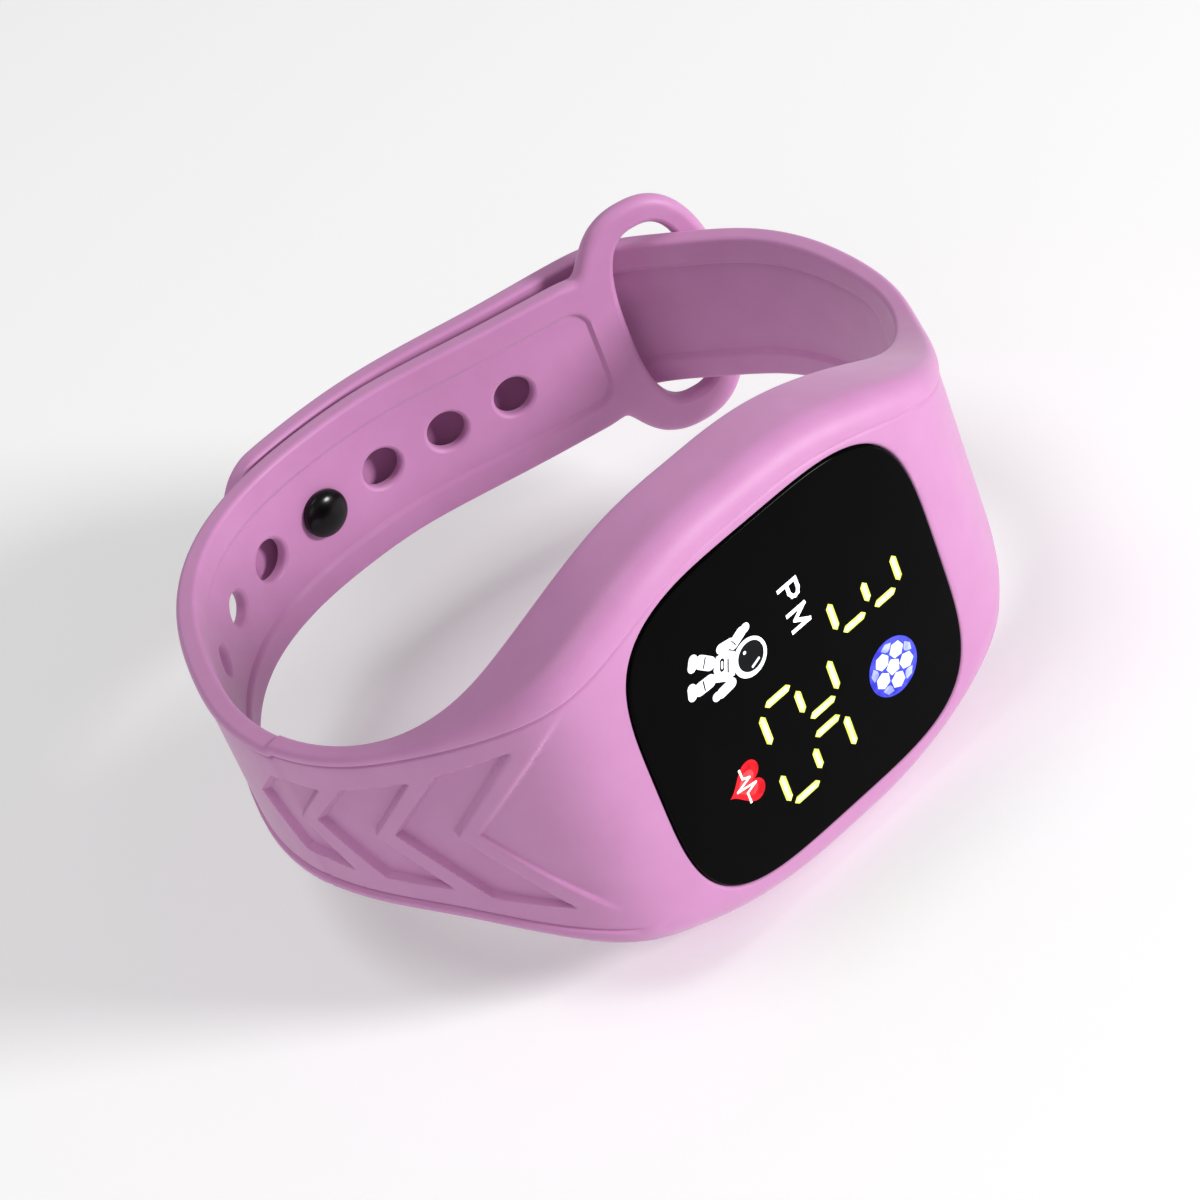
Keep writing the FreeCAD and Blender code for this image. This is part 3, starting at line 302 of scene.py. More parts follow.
def sweep(name, ss, special=None, nin=64, nout=132):
    """rounded strip along the path at these stations; special = (lo, hi) where the outline turns across the path"""
    ns = len(ss)
    px, py = np.interp(ss, s, q[:, 0]), np.interp(ss, s, q[:, 1])
    nx, ny = np.interp(ss, s, N[:, 0]), np.interp(ss, s, N[:, 1])
    nl = np.hypot(nx, ny); nx, ny = nx / nl, ny / nl
    t, w = thick(ss), half_width(ss)
    ri, ro = radius_in(ss), radius_out(ss)
    rl = np.minimum(radius_low(ss), t - ri - 0.05)
    zi, zo, zl = np.minimum(ri, 0.8 * w), np.minimum(ro, 0.8 * w), np.minimum(rl, 0.8 * w)
    NA, NB, NSIDE = 5, 9, 6
    cols = []
    for k in range(nin + 1):
        cols.append((-(w - zi) + 2 * (w - zi) * k / nin, "I", 0))
    for k in range(1, NA):
        cols.append((w - zi + zi * math.sin(math.pi / 2 * k / NA), "I", 0))
    for k in range(NSIDE + 1):
        cols.append((w.copy(), "S", k / NSIDE))
    for k in range(NB - 1, 0, -1):
        cols.append((w - zo + zo * math.sin(math.pi / 2 * k / NB), "O", 0))
    aw = smooth01((w - 9.0) / 8.0)
    h = 0.9 + 1.85 * aw
    half, fine = nout // 2, 12
    for k in range(nout + 1):
        kk = min(k, nout - k)
        w1 = np.maximum(w - (zo if k <= half else zl), 0)
        w2 = np.clip(w - (h + 0.6), 0, w1 * 0.95)
        zz = w1 + (w2 - w1) * kk / fine if kk <= fine else w2 * (half - kk) / (half - fine)
        cols.append((zz if k <= half else -zz, "O", 0))
    for k in range(1, NB):
        cols.append((-(w - zl + zl * math.sin(math.pi / 2 * k / NB)), "O", 0))
    for k in range(NSIDE + 1):
        cols.append((-w, "S", 1 - k / NSIDE))
    for k in range(NA - 1, 0, -1):
        cols.append((-(w - zi + zi * math.sin(math.pi / 2 * k / NA)), "I", 0))
    nc = len(cols)
    Z = np.stack([c[0] for c in cols], 1)
    kind = np.array([c[1] for c in cols]); frac = np.array([c[2] for c in cols], float)
    S = np.repeat(ss[:, None], nc, 1); W = np.repeat(w[:, None], nc, 1)
    D = W - np.abs(Z)
    if special:
        rows = (ss >= special[0]) & (ss <= special[1])
        if rows.any():
            D[rows] = np.minimum(outline_distance(S[rows], Z[rows], special[0], special[1] + 6 if special[1] + 6 < STOT else STOT), D[rows])
    RI, RO, TT = ri[:, None] + 0 * Z, ro[:, None] + 0 * Z, t[:, None] + 0 * Z
    RL = rl[:, None] + 0 * Z
    RO = np.minimum(np.where(Z < 0, RL, RO), TT - RI - 0.02)
    low = round_over(D, RI) + inner_band(S, Z, W)
    high = TT - round_over(D, RO) - outer_band(S, Z, W)
    side = RI + (TT - RI - RO) * frac[None, :]
    n_ = np.where(kind[None, :] == "I", low, np.where(kind[None, :] == "O", high, side))
    X = px[:, None] + nx[:, None] * n_; Y = py[:, None] + ny[:, None] * n_
    F = grid_faces(ns, nc)
    F.append(list(range(nc))[::-1]); F.append([(ns - 1) * nc + k for k in range(nc)])
    ob = mesh_object(name, np.stack([X, Y, Z], -1).reshape(-1, 3), F)
    for n in ("skin", "cap_a", "cap_b"):
        ob.data.materials.append(None)
    ob.data.polygons[len(F) - 2].material_index = 1
    ob.data.polygons[len(F) - 1].material_index = 2
    return ob

def place(S, z, n):
    S = np.asarray(S, float)
    nx, ny = np.interp(S, s, N[:, 0]), np.interp(S, s, N[:, 1])
    return np.stack([np.interp(S, s, q[:, 0]) + nx * n, np.interp(S, s, q[:, 1]) + ny * n, np.asarray(z, float)], -1)

def loft(loops):
    """closed solid through closed loops of equal count"""
    n = len(loops[0]); V = np.concatenate(loops); F = []
    for a in range(len(loops) - 1):
        for k in range(n):
            F.append([a * n + k, a * n + (k + 1) % n, (a + 1) * n + (k + 1) % n, (a + 1) * n + k])
    F.append(list(range(n))[::-1]); F.append([(len(loops) - 1) * n + k for k in range(n)])
    return V, F

def joined(name, solids):
    V, F, k = [], [], 0
    for v, f in solids:
        V.append(np.asarray(v, float)); F += [[i + k for i in ff] for ff in f]; k += len(v)
    ob = mesh_object(name, np.concatenate(V), F)
    fix_normals(ob)
    return ob

def cut(ob, tool):
    for solver in ("MANIFOLD", "EXACT"):
        m = ob.modifiers.new("cut", "BOOLEAN"); m.operation = "DIFFERENCE"; m.object = tool
        try:
            m.solver = solver
        except TypeError:
            ob.modifiers.clear(); continue
        dg = bpy.context.evaluated_depsgraph_get()
        me = bpy.data.meshes.new_from_object(ob.evaluated_get(dg))
        ob.modifiers.clear()
        if len(me.polygons) and len(me.polygons) != len(ob.data.polygons):
            old = ob.data; ob.data = me; bpy.data.meshes.remove(old)
            print("cut", ob.name, solver, len(me.polygons))
            break
    bpy.data.objects.remove(tool, do_unlink=True)

def flare(n_in, n_out, r, reach=1.6, steps=6, start=12.0):
    """(level, offset) pairs of a bore through a plate whose two edges are rounded with radius r"""
    a0 = math.radians(start); out = []
    ks = [a0 + (math.pi / 2 - a0) * k / steps for k in range(steps + 1)]
    out.append((n_in - reach, r * (1 - math.sin(a0)) + 0.25))
    for a in ks:
        out.append((n_in + r * (1 - math.cos(a)), r * (1 - math.sin(a))))
    for a in ks[::-1]:
        out.append((n_out - r * (1 - math.cos(a)), r * (1 - math.sin(a))))
    out.append((n_out + reach, r * (1 - math.sin(a0)) + 0.25))
    return out

HR = 1.92
# the two holes nearest the case are smaller
HOLE_R = [HR] * (len(HOLE_S) - 2) + [1.5, 1.3]
def hole_tool(hs, n=56, HR=HR):
    a = 2 * np.pi * np.arange(n) / n
    return loft([place(hs + (HR + off) * np.cos(a), (HR + off) * np.sin(a), lv) for lv, off in flare(0.35, TK - 0.28, 0.48)])

def slot_tool(n=140):
    a = 2 * np.pi * np.arange(n) / n
    c, s_ = np.cos(a), np.sin(a)
    p = 2 / 2.6
    ux = np.sign(c) * np.abs(c) ** p; uz = np.sign(s_) * np.abs(s_) ** p
    loops = []
    for lv, off in flare(0.0, TK, 0.72, steps=8):
        sr = 9.0 + (4.0 + off) * ux
        loops.append(place(S_R0 - sr, 0.4 + (9.7 + off) * uz, lv))
    return loft(loops)

def squircle(hx, hz, n=200, power=3.9):
    a = 2 * np.pi * np.arange(n) / n
    c, s_ = np.cos(a), np.sin(a)
    return MX + hx * np.sign(c) * np.abs(c) ** (2 / power), hz * np.sign(s_) * np.abs(s_) ** (2 / power)

_fo = oq[(oq[:, 1] < -20)]
_fo = _fo[np.argsort(_fo[:, 0])]
def front_y(x):
    return np.interp(x, _fo[:, 0], _fo[:, 1])

def window_tool():
    loops = []
    R = 0.38
    for k, a in enumerate(np.radians([10, 22, 36, 52, 70, 90])):
        off = R * (1 - math.sin(a))
        x, z = squircle(16.52 + off, 15.69 + off)
        if k == 0:
            x0, z0 = squircle(16.52 + off + 0.25, 15.69 + off + 0.25)
            loops.append(np.stack([x0, front_y(x0) - 1.6, z0], -1))
        loops.append(np.stack([x, front_y(x) + 0.05 + R * (1 - math.cos(a)), z], -1))
    x, z = squircle(16.52, 15.69)
    loops.append(np.stack([x, np.full(len(x), -25.32), z], -1))
    x, z = squircle(17.85, 17.05)
    loops.append(np.stack([x, np.full(len(x), -25.32), z], -1))
    loops.append(np.stack([x, np.full(len(x), -10.0), z], -1))
    return loft(loops)

fine = [(0.0, 2.5, 0.1), (0.0, S_R0 + 4, 0.2), (S_R0 + 4, HOLE_S[-1] + 3.2, 0.24)]
part_a = sweep("silicone_band_skin", stations(0.03, S_JOIN, fine), special=(0.0, S_R0 + 6))
part_b = sweep("part_b", stations(S_JOIN, S_SEAM, [(S_JOIN, S_LEFT + 38, 0.2), (S_LEFT + 38, S_RIGHT - 6, 0.45)]))
for o in (part_a, part_b):
    fix_normals(o)
cut(part_a, joined("tool_a", [hole_tool(h, HR=r) for h, r in zip(HOLE_S, HOLE_R)] + [slot_tool()]))
cut(part_b, joined("tool_b", [window_tool()]))

def drop_cap(ob, idx):
    bm = bmesh.new(); bm.from_mesh(ob.data)
    bmesh.ops.delete(bm, geom=[f for f in bm.faces if f.material_index == idx], context="FACES_ONLY")
    bm.to_mesh(ob.data); bm.free()
drop_cap(part_a, 2); drop_cap(part_b, 1)
bm = bmesh.new(); bm.from_mesh(part_a.data); bm.from_mesh(part_b.data)
for f in bm.faces:
    f.material_index = 0
bmesh.ops.remove_doubles(bm, verts=bm.verts, dist=1.5e-6)
bmesh.ops.dissolve_degenerate(bm, edges=bm.edges, dist=1e-7)
print("open edges", sum(1 for e in bm.edges if len(e.link_faces) != 2), "faces", len(bm.faces))
bm.to_mesh(part_a.data); bm.free()
bpy.data.objects.remove(part_b, do_unlink=True)
band = part_a
fix_normals(band)
smooth_shade(band)

free = sweep("strap_free_end_skin", stations(S_SEAM, STOT - 0.005, [(S_HINGE - 4, S_HINGE + 8, 0.3), (STOT - 9.5, STOT - 1.5, 0.3), (STOT - 1.5, STOT, 0.1)], 0.5), special=(STOT - 12, STOT))
fix_normals(free, 1.2e-6)
smooth_shade(free)

# ---------------------------------------------------------------- turned parts of the clasp
def lathe(name, profile, origin, axis, n=72, squash_fn=None):
    """profile: (radius, height) from one pole to the other, about axis from origin"""
    axis = Vector(axis).normalized(); side = axis.cross(Vector((0, 0, 1))).normalized(); up = axis.cross(side)
    V, F = [], []
    prof = [p for p in profile]
    for r, hgt in prof:
        for k in range(n):
            a = 2 * math.pi * k / n
            V.append(tuple(Vector(origin) + axis * hgt + (side * math.cos(a) + up * math.sin(a)) * max(r, 1e-4)))
    for i in range(len(prof) - 1):
        for k in range(n):
            F.append([i * n + k, i * n + (k + 1) % n, (i + 1) * n + (k + 1) % n, (i + 1) * n + k])
    F.append(list(range(n))[::-1]); F.append([(len(prof) - 1) * n + k for k in range(n)])
    ob = mesh_object(name, V, F)
    fix_normals(ob, 2e-7)
    smooth_shade(ob, 50)
    return ob

def arc(c0, c1, r, a0, a1, n):
    return [(c0 + r * math.cos(math.radians(a0 + (a1 - a0) * k / n)), c1 + r * math.sin(math.radians(a0 + (a1 - a0) * k / n))) for k in range(n + 1)]

p4 = place([HOLE_S[3]], [0.0], 0.0)[0]
n4 = place([HOLE_S[3]], [0.0], 1.0)[0] - p4
_fe = q[s > S_HINGE]
_rel = _fe - p4[:2]
END_IN = float((_rel @ n4[:2])[np.argmin(np.abs(_rel @ np.array([-n4[1], n4[0]])))])
print("free end stands off", END_IN)
HEAD_R = 2.32
dome = []
for a in range(4, 85, 5):
    dome.append((HEAD_R * math.sin(math.radians(a)), -0.10 - 1.1 * math.cos(math.radians(a))))
prof = [(0.001, -1.2)] + dome + [(HEAD_R, 0.0), (HEAD_R - 0.02, 0.14), (HEAD_R - 0.2, 0.3), (1.62, 0.36), (1.5, 0.5), (1.45, 0.7), (1.45, END_IN + TK - 0.02), (0.001, END_IN + TK - 0.02)]
stud = lathe("clasp_stud_turned", prof, p4, n4)
z0 = END_IN + TK
capp = [(0.001, z0 + 0.02), (2.6, z0 + 0.02), (2.92, z0 + 0.04)] + arc(2.7, z0 + 0.34, 0.3, -70, 60, 6) + [(2.55, z0 + 0.66), (2.2, z0 + 0.74), (1.5, z0 + 0.79), (0.8, z0 + 0.8), (0.001, z0 + 0.8)]
capo = lathe("clasp_stud_cap_turned", capp, p4, n4)

# ---------------------------------------------------------------- the display window and what shines through it
def lens_mesh():
    loops = []
    R = 0.22
    for a in np.radians([0, 18, 36, 54, 72, 90]):
        x, z = squircle(16.45 - R + R * math.sin(a), 15.62 - R + R * math.sin(a), 240)
        loops.append(np.stack([x, np.full(len(x), FRONT + R * (1 - math.cos(a))), z], -1))
    x, z = squircle(16.45, 15.62, 240)
    loops.append(np.stack([x, np.full(len(x), FRONT + 1.3), z], -1))
    x, z = squircle(16.35, 15.52, 240)
    loops.append(np.stack([x, np.full(len(x), FRONT + 1.4), z], -1))
    return loft(loops)
lens = joined("front_lens_glass", [lens_mesh()])
smooth_shade(lens, 60)

def plate_pieces(name, polys, y0=FRONT - 0.03, y1=FRONT + 0.08):
    """thin plates: polys = [(list of (x, z), material index, lift)]"""
    V, F, mi, k = [], [], [], 0
    for pts, m, lift in polys:
        n = len(pts)
        V += [(x, y0 - lift, z) for x, z in pts] + [(x, y1, z) for x, z in pts]
        F.append([k + i for i in range(n)]); mi.append(m)
        F.append([k + n + i for i in range(n)][::-1]); mi.append(m)
        for i in range(n):
            F.append([k + i, k + (i + 1) % n, k + n + (i + 1) % n, k + n + i]); mi.append(m)
        k += 2 * n
    ob = mesh_object(name, V, F)
    ob.data.polygons.foreach_set("material_index", mi)
    fix_normals(ob)
    return ob

def bar(a, b, width, tip=0.5, trim=0.0):
    a, b = np.array(a, float), np.array(b, float)
    e = (b - a) / np.linalg.norm(b - a); p = np.array([-e[1], e[0]]) * width / 2
    a, b = a + e * trim, b - e * trim
    c = width * tip
    return [tuple(v) for v in (a, a + e * c + p, b - e * c + p, b, b - e * c - p, a + e * c - p)]

DIGITS = [
    [((2.68, 3.5), (2.68, 0.68)), ((3.15, 0.03), (5.83, 0.03)), ((6.5, 2.8), (6.5, 0.75)), ((6.86, -0.12), (9.41, -0.12)), ((10.08, 2.92), (10.08, 0.24))],
    [((0.78, -1.24), (0.78, -4.35)), ((-2.73, -4.78), (0.28, -4.78)), ((-3.1, -1.39), (-3.1, -3.83)), ((-6.4, -0.5), (-3.43, -0.5)), ((-7.1, -0.99), (-7.1, -4.07))],
    [((0.49, -7.24), (0.49, -10.41)), ((-2.93, -6.69), (0.03, -6.69)), ((-3.42, -7.62), (-3.42, -9.86)), ((-7.03, -10.8), (-4.01, -10.8)), ((-7.32, -7.41), (-7.32, -10.3))],
]
polys = []
for dg_ in DIGITS:
    for a, b in dg_:
        polys.append((bar(a, b, 0.74), 0, 0.0))
        polys.append((bar(a, b, 0.42, 0.6, 0.16), 1, 0.006))
digits = plate_pieces("digit_bars", polys)

def stroke(pts, width):
    """one ribbon polygon along a polyline with mitred corners"""
    P = np.array(pts, float); L, R = [], []
    for i in range(len(P)):
        if i == 0: d = P[1] - P[0]
        elif i == len(P) - 1: d = P[-1] - P[-2]
        else:
            d0 = (P[i] - P[i - 1]) / np.linalg.norm(P[i] - P[i - 1]); d1 = (P[i + 1] - P[i]) / np.linalg.norm(P[i + 1] - P[i])
            d = d0 + d1
        d = d / np.linalg.norm(d); nrm = np.array([-d[1], d[0]])
        m = width / 2
        if 0 < i < len(P) - 1:
            n0 = np.array([-d0[1], d0[0]]); m = width / 2 / max(nrm @ n0, 0.45)
        L.append(P[i] + nrm * m); R.append(P[i] - nrm * m)
    return [tuple(v) for v in L + R[::-1]]

def glyph(pts, u0, foot, sx=1.0, sy=1.0):
    """character coordinates (right, up) to display (x up, z against the reading direction)"""
    return [(foot + b * sy, u0 - a * sx) for a, b in pts]

white = []
def white_stroke(pts, u0, foot, w, sx=1.0, sy=1.0):
    g = glyph(pts, u0, foot, sx, sy)
    for i in range(len(g) - 1):
        a, b = np.array(g[i]), np.array(g[i + 1])
        e = (b - a) / np.linalg.norm(b - a)
        p = np.array([-e[1], e[0]]) * w / 2; x = e * w * 0.42
        white.append(([tuple(v) for v in (a - x + p, b + x + p, b + x - p, a - x - p)], 0, 0.0005 * (len(white) % 7)))
# "P" and "M": the plain afternoon marking of a twelve-hour clock
HGT, WID = 1.9, 1.45
white_stroke([(0.0, 0.0), (0.0, HGT)], 8.0, -1.35, 0.36)
white_stroke([(0.0, HGT), (WID * 0.62, HGT), (WID * 0.93, HGT * 0.9), (WID, HGT * 0.74), (WID * 0.93, HGT * 0.58), (WID * 0.62, HGT * 0.47), (0.0, HGT * 0.47)], 8.0, -1.35, 0.36)
white_stroke([(0.0, 0.0), (0.0, HGT), (0.85, 0.55), (1.7, HGT), (1.7, 0.0)], 5.35, -1.35, 0.36)
marks = plate_pieces("clock_marking", white)

def disc(cx, cz, r, n=32, a0=0.0, sx=1.0, sz=1.0):
    return [(cx + sx * r * math.cos(a0 + 2 * math.pi * k / n), cz + sz * r * math.sin(a0 + 2 * math.pi * k / n)) for k in range(n)]

def capsule_shape(a, b, r, n=8):
    a, b = np.array(a, float), np.array(b, float); e = (b - a) / max(np.linalg.norm(b - a), 1e-9); t0 = math.atan2(e[1], e[0])
    out = [tuple(b + r * np.array([math.cos(t0 - math.pi / 2 + math.pi * k / n), math.sin(t0 - math.pi / 2 + math.pi * k / n)])) for k in range(n + 1)]
    out += [tuple(a + r * np.array([math.cos(t0 + math.pi / 2 + math.pi * k / n), math.sin(t0 + math.pi / 2 + math.pi * k / n)])) for k in range(n + 1)]
    return out

# a plain pictogram of a floating space suit: helmet, trunk, pack, limbs
def suit():
    out = []
    K = 0.80
    hc = np.array([-6.0, 4.7])
    ax = np.array([-0.929, 0.37])          # from the helmet towards the feet
    sd_ = np.array([0.37, 0.929])
    def at(u, v): return tuple(hc + K * (ax * u + sd_ * v))
    def limb(u0, v0, u1, v1, r, m=0, lift=0.0): out.append((capsule_shape(at(u0, v0), at(u1, v1), r * K * (1.25 if m == 0 and not lift else 1.0)), m, lift))
    def ring(u, v, r, m, lift, n=40): out.append((disc(*at(u, v), r * K, n), m, lift))
    ring(0, 0, 2.25, 0, 0.002)
    ring(-0.1, 0.1, 1.72, 1, 0.006)                        # dark visor
    limb(-1.15, -0.45, -0.35, -1.15, 0.15, 0, 0.010)       # glint on the visor
    ring(0.75, 0.7, 0.2, 0, 0.010, 16)
    trunk = [at(2.05, -1.3), at(2.2, 0.0), at(2.05, 1.3), at(3.1, 1.7), at(4.5, 1.4), at(4.85, 0.0), at(4.5, -1.4), at(3.1, -1.7)]
    out.append((trunk, 0, 0.0))
    limb(2.6, 2.35, 3.9, 2.1, 0.45)                        # pack edge and upper arm
    limb(2.2, 2.15, 1.2, 3.1, 0.5); limb(0.75, 3.35, 0.6, 3.45, 0.42)
    limb(2.5, -2.1, 3.8, -2.75, 0.5); limb(4.35, -2.95, 4.5, -3.0, 0.42)
    limb(5.35, -1.0, 6.7, -1.45, 0.62); limb(5.35, 0.95, 6.6, 1.5, 0.62)
    limb(7.65, -1.95, 7.75, -1.1, 0.45); limb(7.55, 2.05, 7.7, 1.2, 0.45)
    limb(2.95, -0.7, 2.95, 0.7, 0.1, 1, 0.006)             # seams and chest panel
    limb(3.75, -0.15, 3.75, 0.75, 0.3, 1, 0.006); limb(3.75, 0.0, 3.75, 0.6, 0.13, 0, 0.010)
    limb(6.0, -1.75, 6.25, -0.75, 0.09, 1, 0.006); limb(6.2, 0.75, 5.95, 1.8, 0.09, 1, 0.006)
    limb(1.95, 2.0, 2.45, 2.5, 0.08, 1, 0.006)
    return out
astro = plate_pieces("suit_icon", suit())

def ball():
    c = np.array([6.6, -6.6]); r = 2.72; out = [(disc(*c, r, 48), 0, 0.0)]
    out.append((disc(*c, 0.78, 5, math.radians(20)), 2, 0.006))
    for k in range(5):
        a = math.radians(20 + 36 + 72 * k)
        out.append((disc(*(c + 1.5 * np.array([math.cos(a), math.sin(a)])), 0.8, 6, a), 1, 0.006))
        b = math.radians(20 + 72 * k)
        pc = c + 2.16 * np.array([math.cos(b), math.sin(b)])
        out.append(([tuple(pc + 0.5 * np.array([math.cos(b + v), math.sin(b + v)]) * f) for v, f in ((0.0, 0.7), (1.5, 1.25), (2.5, 0.95), (3.14, 1.0), (3.78, 0.95), (4.78, 1.25))], 3, 0.006))
    return out
ballo = plate_pieces("ball_icon", ball())

def heart():
    out = []
    def shape(f, n=56):
        pts = []
        for k in range(n):
            t = 2 * math.pi * k / n
            x = 16 * math.sin(t) ** 3; y = 13 * math.cos(t) - 5 * math.cos(2 * t) - 2 * math.cos(3 * t) - math.cos(4 * t)
            pts.append((-10.75 + 0.125 * f * (y + 2.2), -5.65 - 0.128 * f * x))
        return pts
    out.append((shape(1.0), 0, 0.0)); out.append((shape(0.62), 1, 0.004))
    line = [(-1.75, -0.15), (-0.85, -0.15), (-0.5, 0.55), (-0.05, -1.0), (0.35, 0.95), (0.7, -0.15), (1.75, -0.15)]
    g = [(-10.7 + b, -5.65 - a) for a, b in line]
    for i in range(len(g) - 1):
        a, b = np.array(g[i]), np.array(g[i + 1]); e = (b - a) / np.linalg.norm(b - a); p = np.array([-e[1], e[0]]) * 0.1
        out.append(([tuple(v) for v in (a - e * 0.08 + p, b + e * 0.08 + p, b + e * 0.08 - p, a - e * 0.08 - p)], 2, 0.009 + 0.0004 * i))
    return out
hearto = plate_pieces("heart_icon", heart())

# ---------------------------------------------------------------- materials
def lin(r, g, b):
    return tuple(((c / 255) / 12.92 if c / 255 <= 0.04045 else ((c / 255 + 0.055) / 1.055) ** 2.4) for c in (r, g, b)) + (1.0,)

def material(name, base, dark, rough=0.5, rough_span=0.06, scale=400, bump=0.05, bump_scale=2500, metal=0.0, spec=0.5,
             sheen=0.0, sss=0.0, sss_scale=0.002, coat=0.0, grain="NOISE", detail=4.0, stretch=None, bump_dist=0.00005):
    """procedural material: two colours mixed by noise, roughness from noise, fine bump"""
    m = bpy.data.materials.new(name); m.use_nodes = True
    nt = m.node_tree; bs = nt.nodes["Principled BSDF"]
    def sock(n, v):
        if n in bs.inputs:
            bs.inputs[n].default_value = v
    sock("Metallic", metal); sock("Specular IOR Level", spec)
    sock("Sheen Weight", sheen); sock("Sheen Roughness", 0.5)
    sock("Coat Weight", coat); sock("Coat Roughness", 0.08)
    if sss:
        sock("Subsurface Weight", sss); sock("Subsurface Radius", (1.0, 0.55, 0.85)); sock("Subsurface Scale", sss_scale)
    tc = nt.nodes.new("ShaderNodeTexCoord"); mp = nt.nodes.new("ShaderNodeMapping")
    nt.links.new(tc.outputs["Object"], mp.inputs["Vector"])
    if stretch:
        mp.inputs["Scale"].default_value = stretch
    n1 = nt.nodes.new("ShaderNodeTexNoise"); n1.inputs["Scale"].default_value = scale; n1.inputs["Detail"].default_value = detail
    nt.links.new(mp.outputs[0], n1.inputs["Vector"])
    cr = nt.nodes.new("ShaderNodeValToRGB")
    cr.color_ramp.elements[0].position = 0.3; cr.color_ramp.elements[0].color = lin(*dark)
    cr.color_ramp.elements[1].position = 0.7; cr.color_ramp.elements[1].color = lin(*base)
    nt.links.new(n1.outputs["Fac"], cr.inputs[0]); nt.links.new(cr.outputs[0], bs.inputs["Base Color"])
    rr = nt.nodes.new("ShaderNodeMapRange")
    rr.inputs["To Min"].default_value = max(rough - rough_span, 0.02); rr.inputs["To Max"].default_value = rough + rough_span
    n2 = nt.nodes.new("ShaderNodeTexNoise"); n2.inputs["Scale"].default_value = scale * 2.3; n2.inputs["Detail"].default_value = 3.0
    nt.links.new(mp.outputs[0], n2.inputs["Vector"]); nt.links.new(n2.outputs["Fac"], rr.inputs["Value"]); nt.links.new(rr.outputs[0], bs.inputs["Roughness"])
    if bump:
        if grain == "VORONOI":
            n3 = nt.nodes.new("ShaderNodeTexVoronoi"); out = n3.outputs["Distance"]
        else:
            n3 = nt.nodes.new("ShaderNodeTexNoise"); n3.inputs["Detail"].default_value = 5.0; out = n3.outputs["Fac"]
        n3.inputs["Scale"].default_value = bump_scale
        nt.links.new(mp.outputs[0], n3.inputs["Vector"])
        b = nt.nodes.new("ShaderNodeBump"); b.inputs["Strength"].default_value = bump; b.inputs["Distance"].default_value = bump_dist
        nt.links.new(out, b.inputs["Height"]); nt.links.new(b.outputs[0], bs.inputs["Normal"])
    return m

def glow(name, core, edge, strength, scale=900):
    """emissive mark with a slightly uneven level, over a dark body"""
    m = bpy.data.materials.new(name); m.use_nodes = True
    nt = m.node_tree; bs = nt.nodes["Principled BSDF"]
    bs.inputs["Roughness"].default_value = 0.4
    bs.inputs["Specular IOR Level"].default_value = 0.1
    tc = nt.nodes.new("ShaderNodeTexCoord")
    n1 = nt.nodes.new("ShaderNodeTexNoise"); n1.inputs["Scale"].default_value = scale; n1.inputs["Detail"].default_value = 2.0
    nt.links.new(tc.outputs["Object"], n1.inputs["Vector"])
    cr = nt.nodes.new("ShaderNodeValToRGB")
    cr.color_ramp.elements[0].position = 0.35; cr.color_ramp.elements[0].color = lin(*edge)
    cr.color_ramp.elements[1].position = 0.6; cr.color_ramp.elements[1].color = lin(*core)
    nt.links.new(n1.outputs["Fac"], cr.inputs[0])
    nt.links.new(cr.outputs[0], bs.inputs["Emission Color"])
    nt.links.new(cr.outputs[0], bs.inputs["Base Color"])
    bs.inputs["Emission Strength"].default_value = strength
    return m

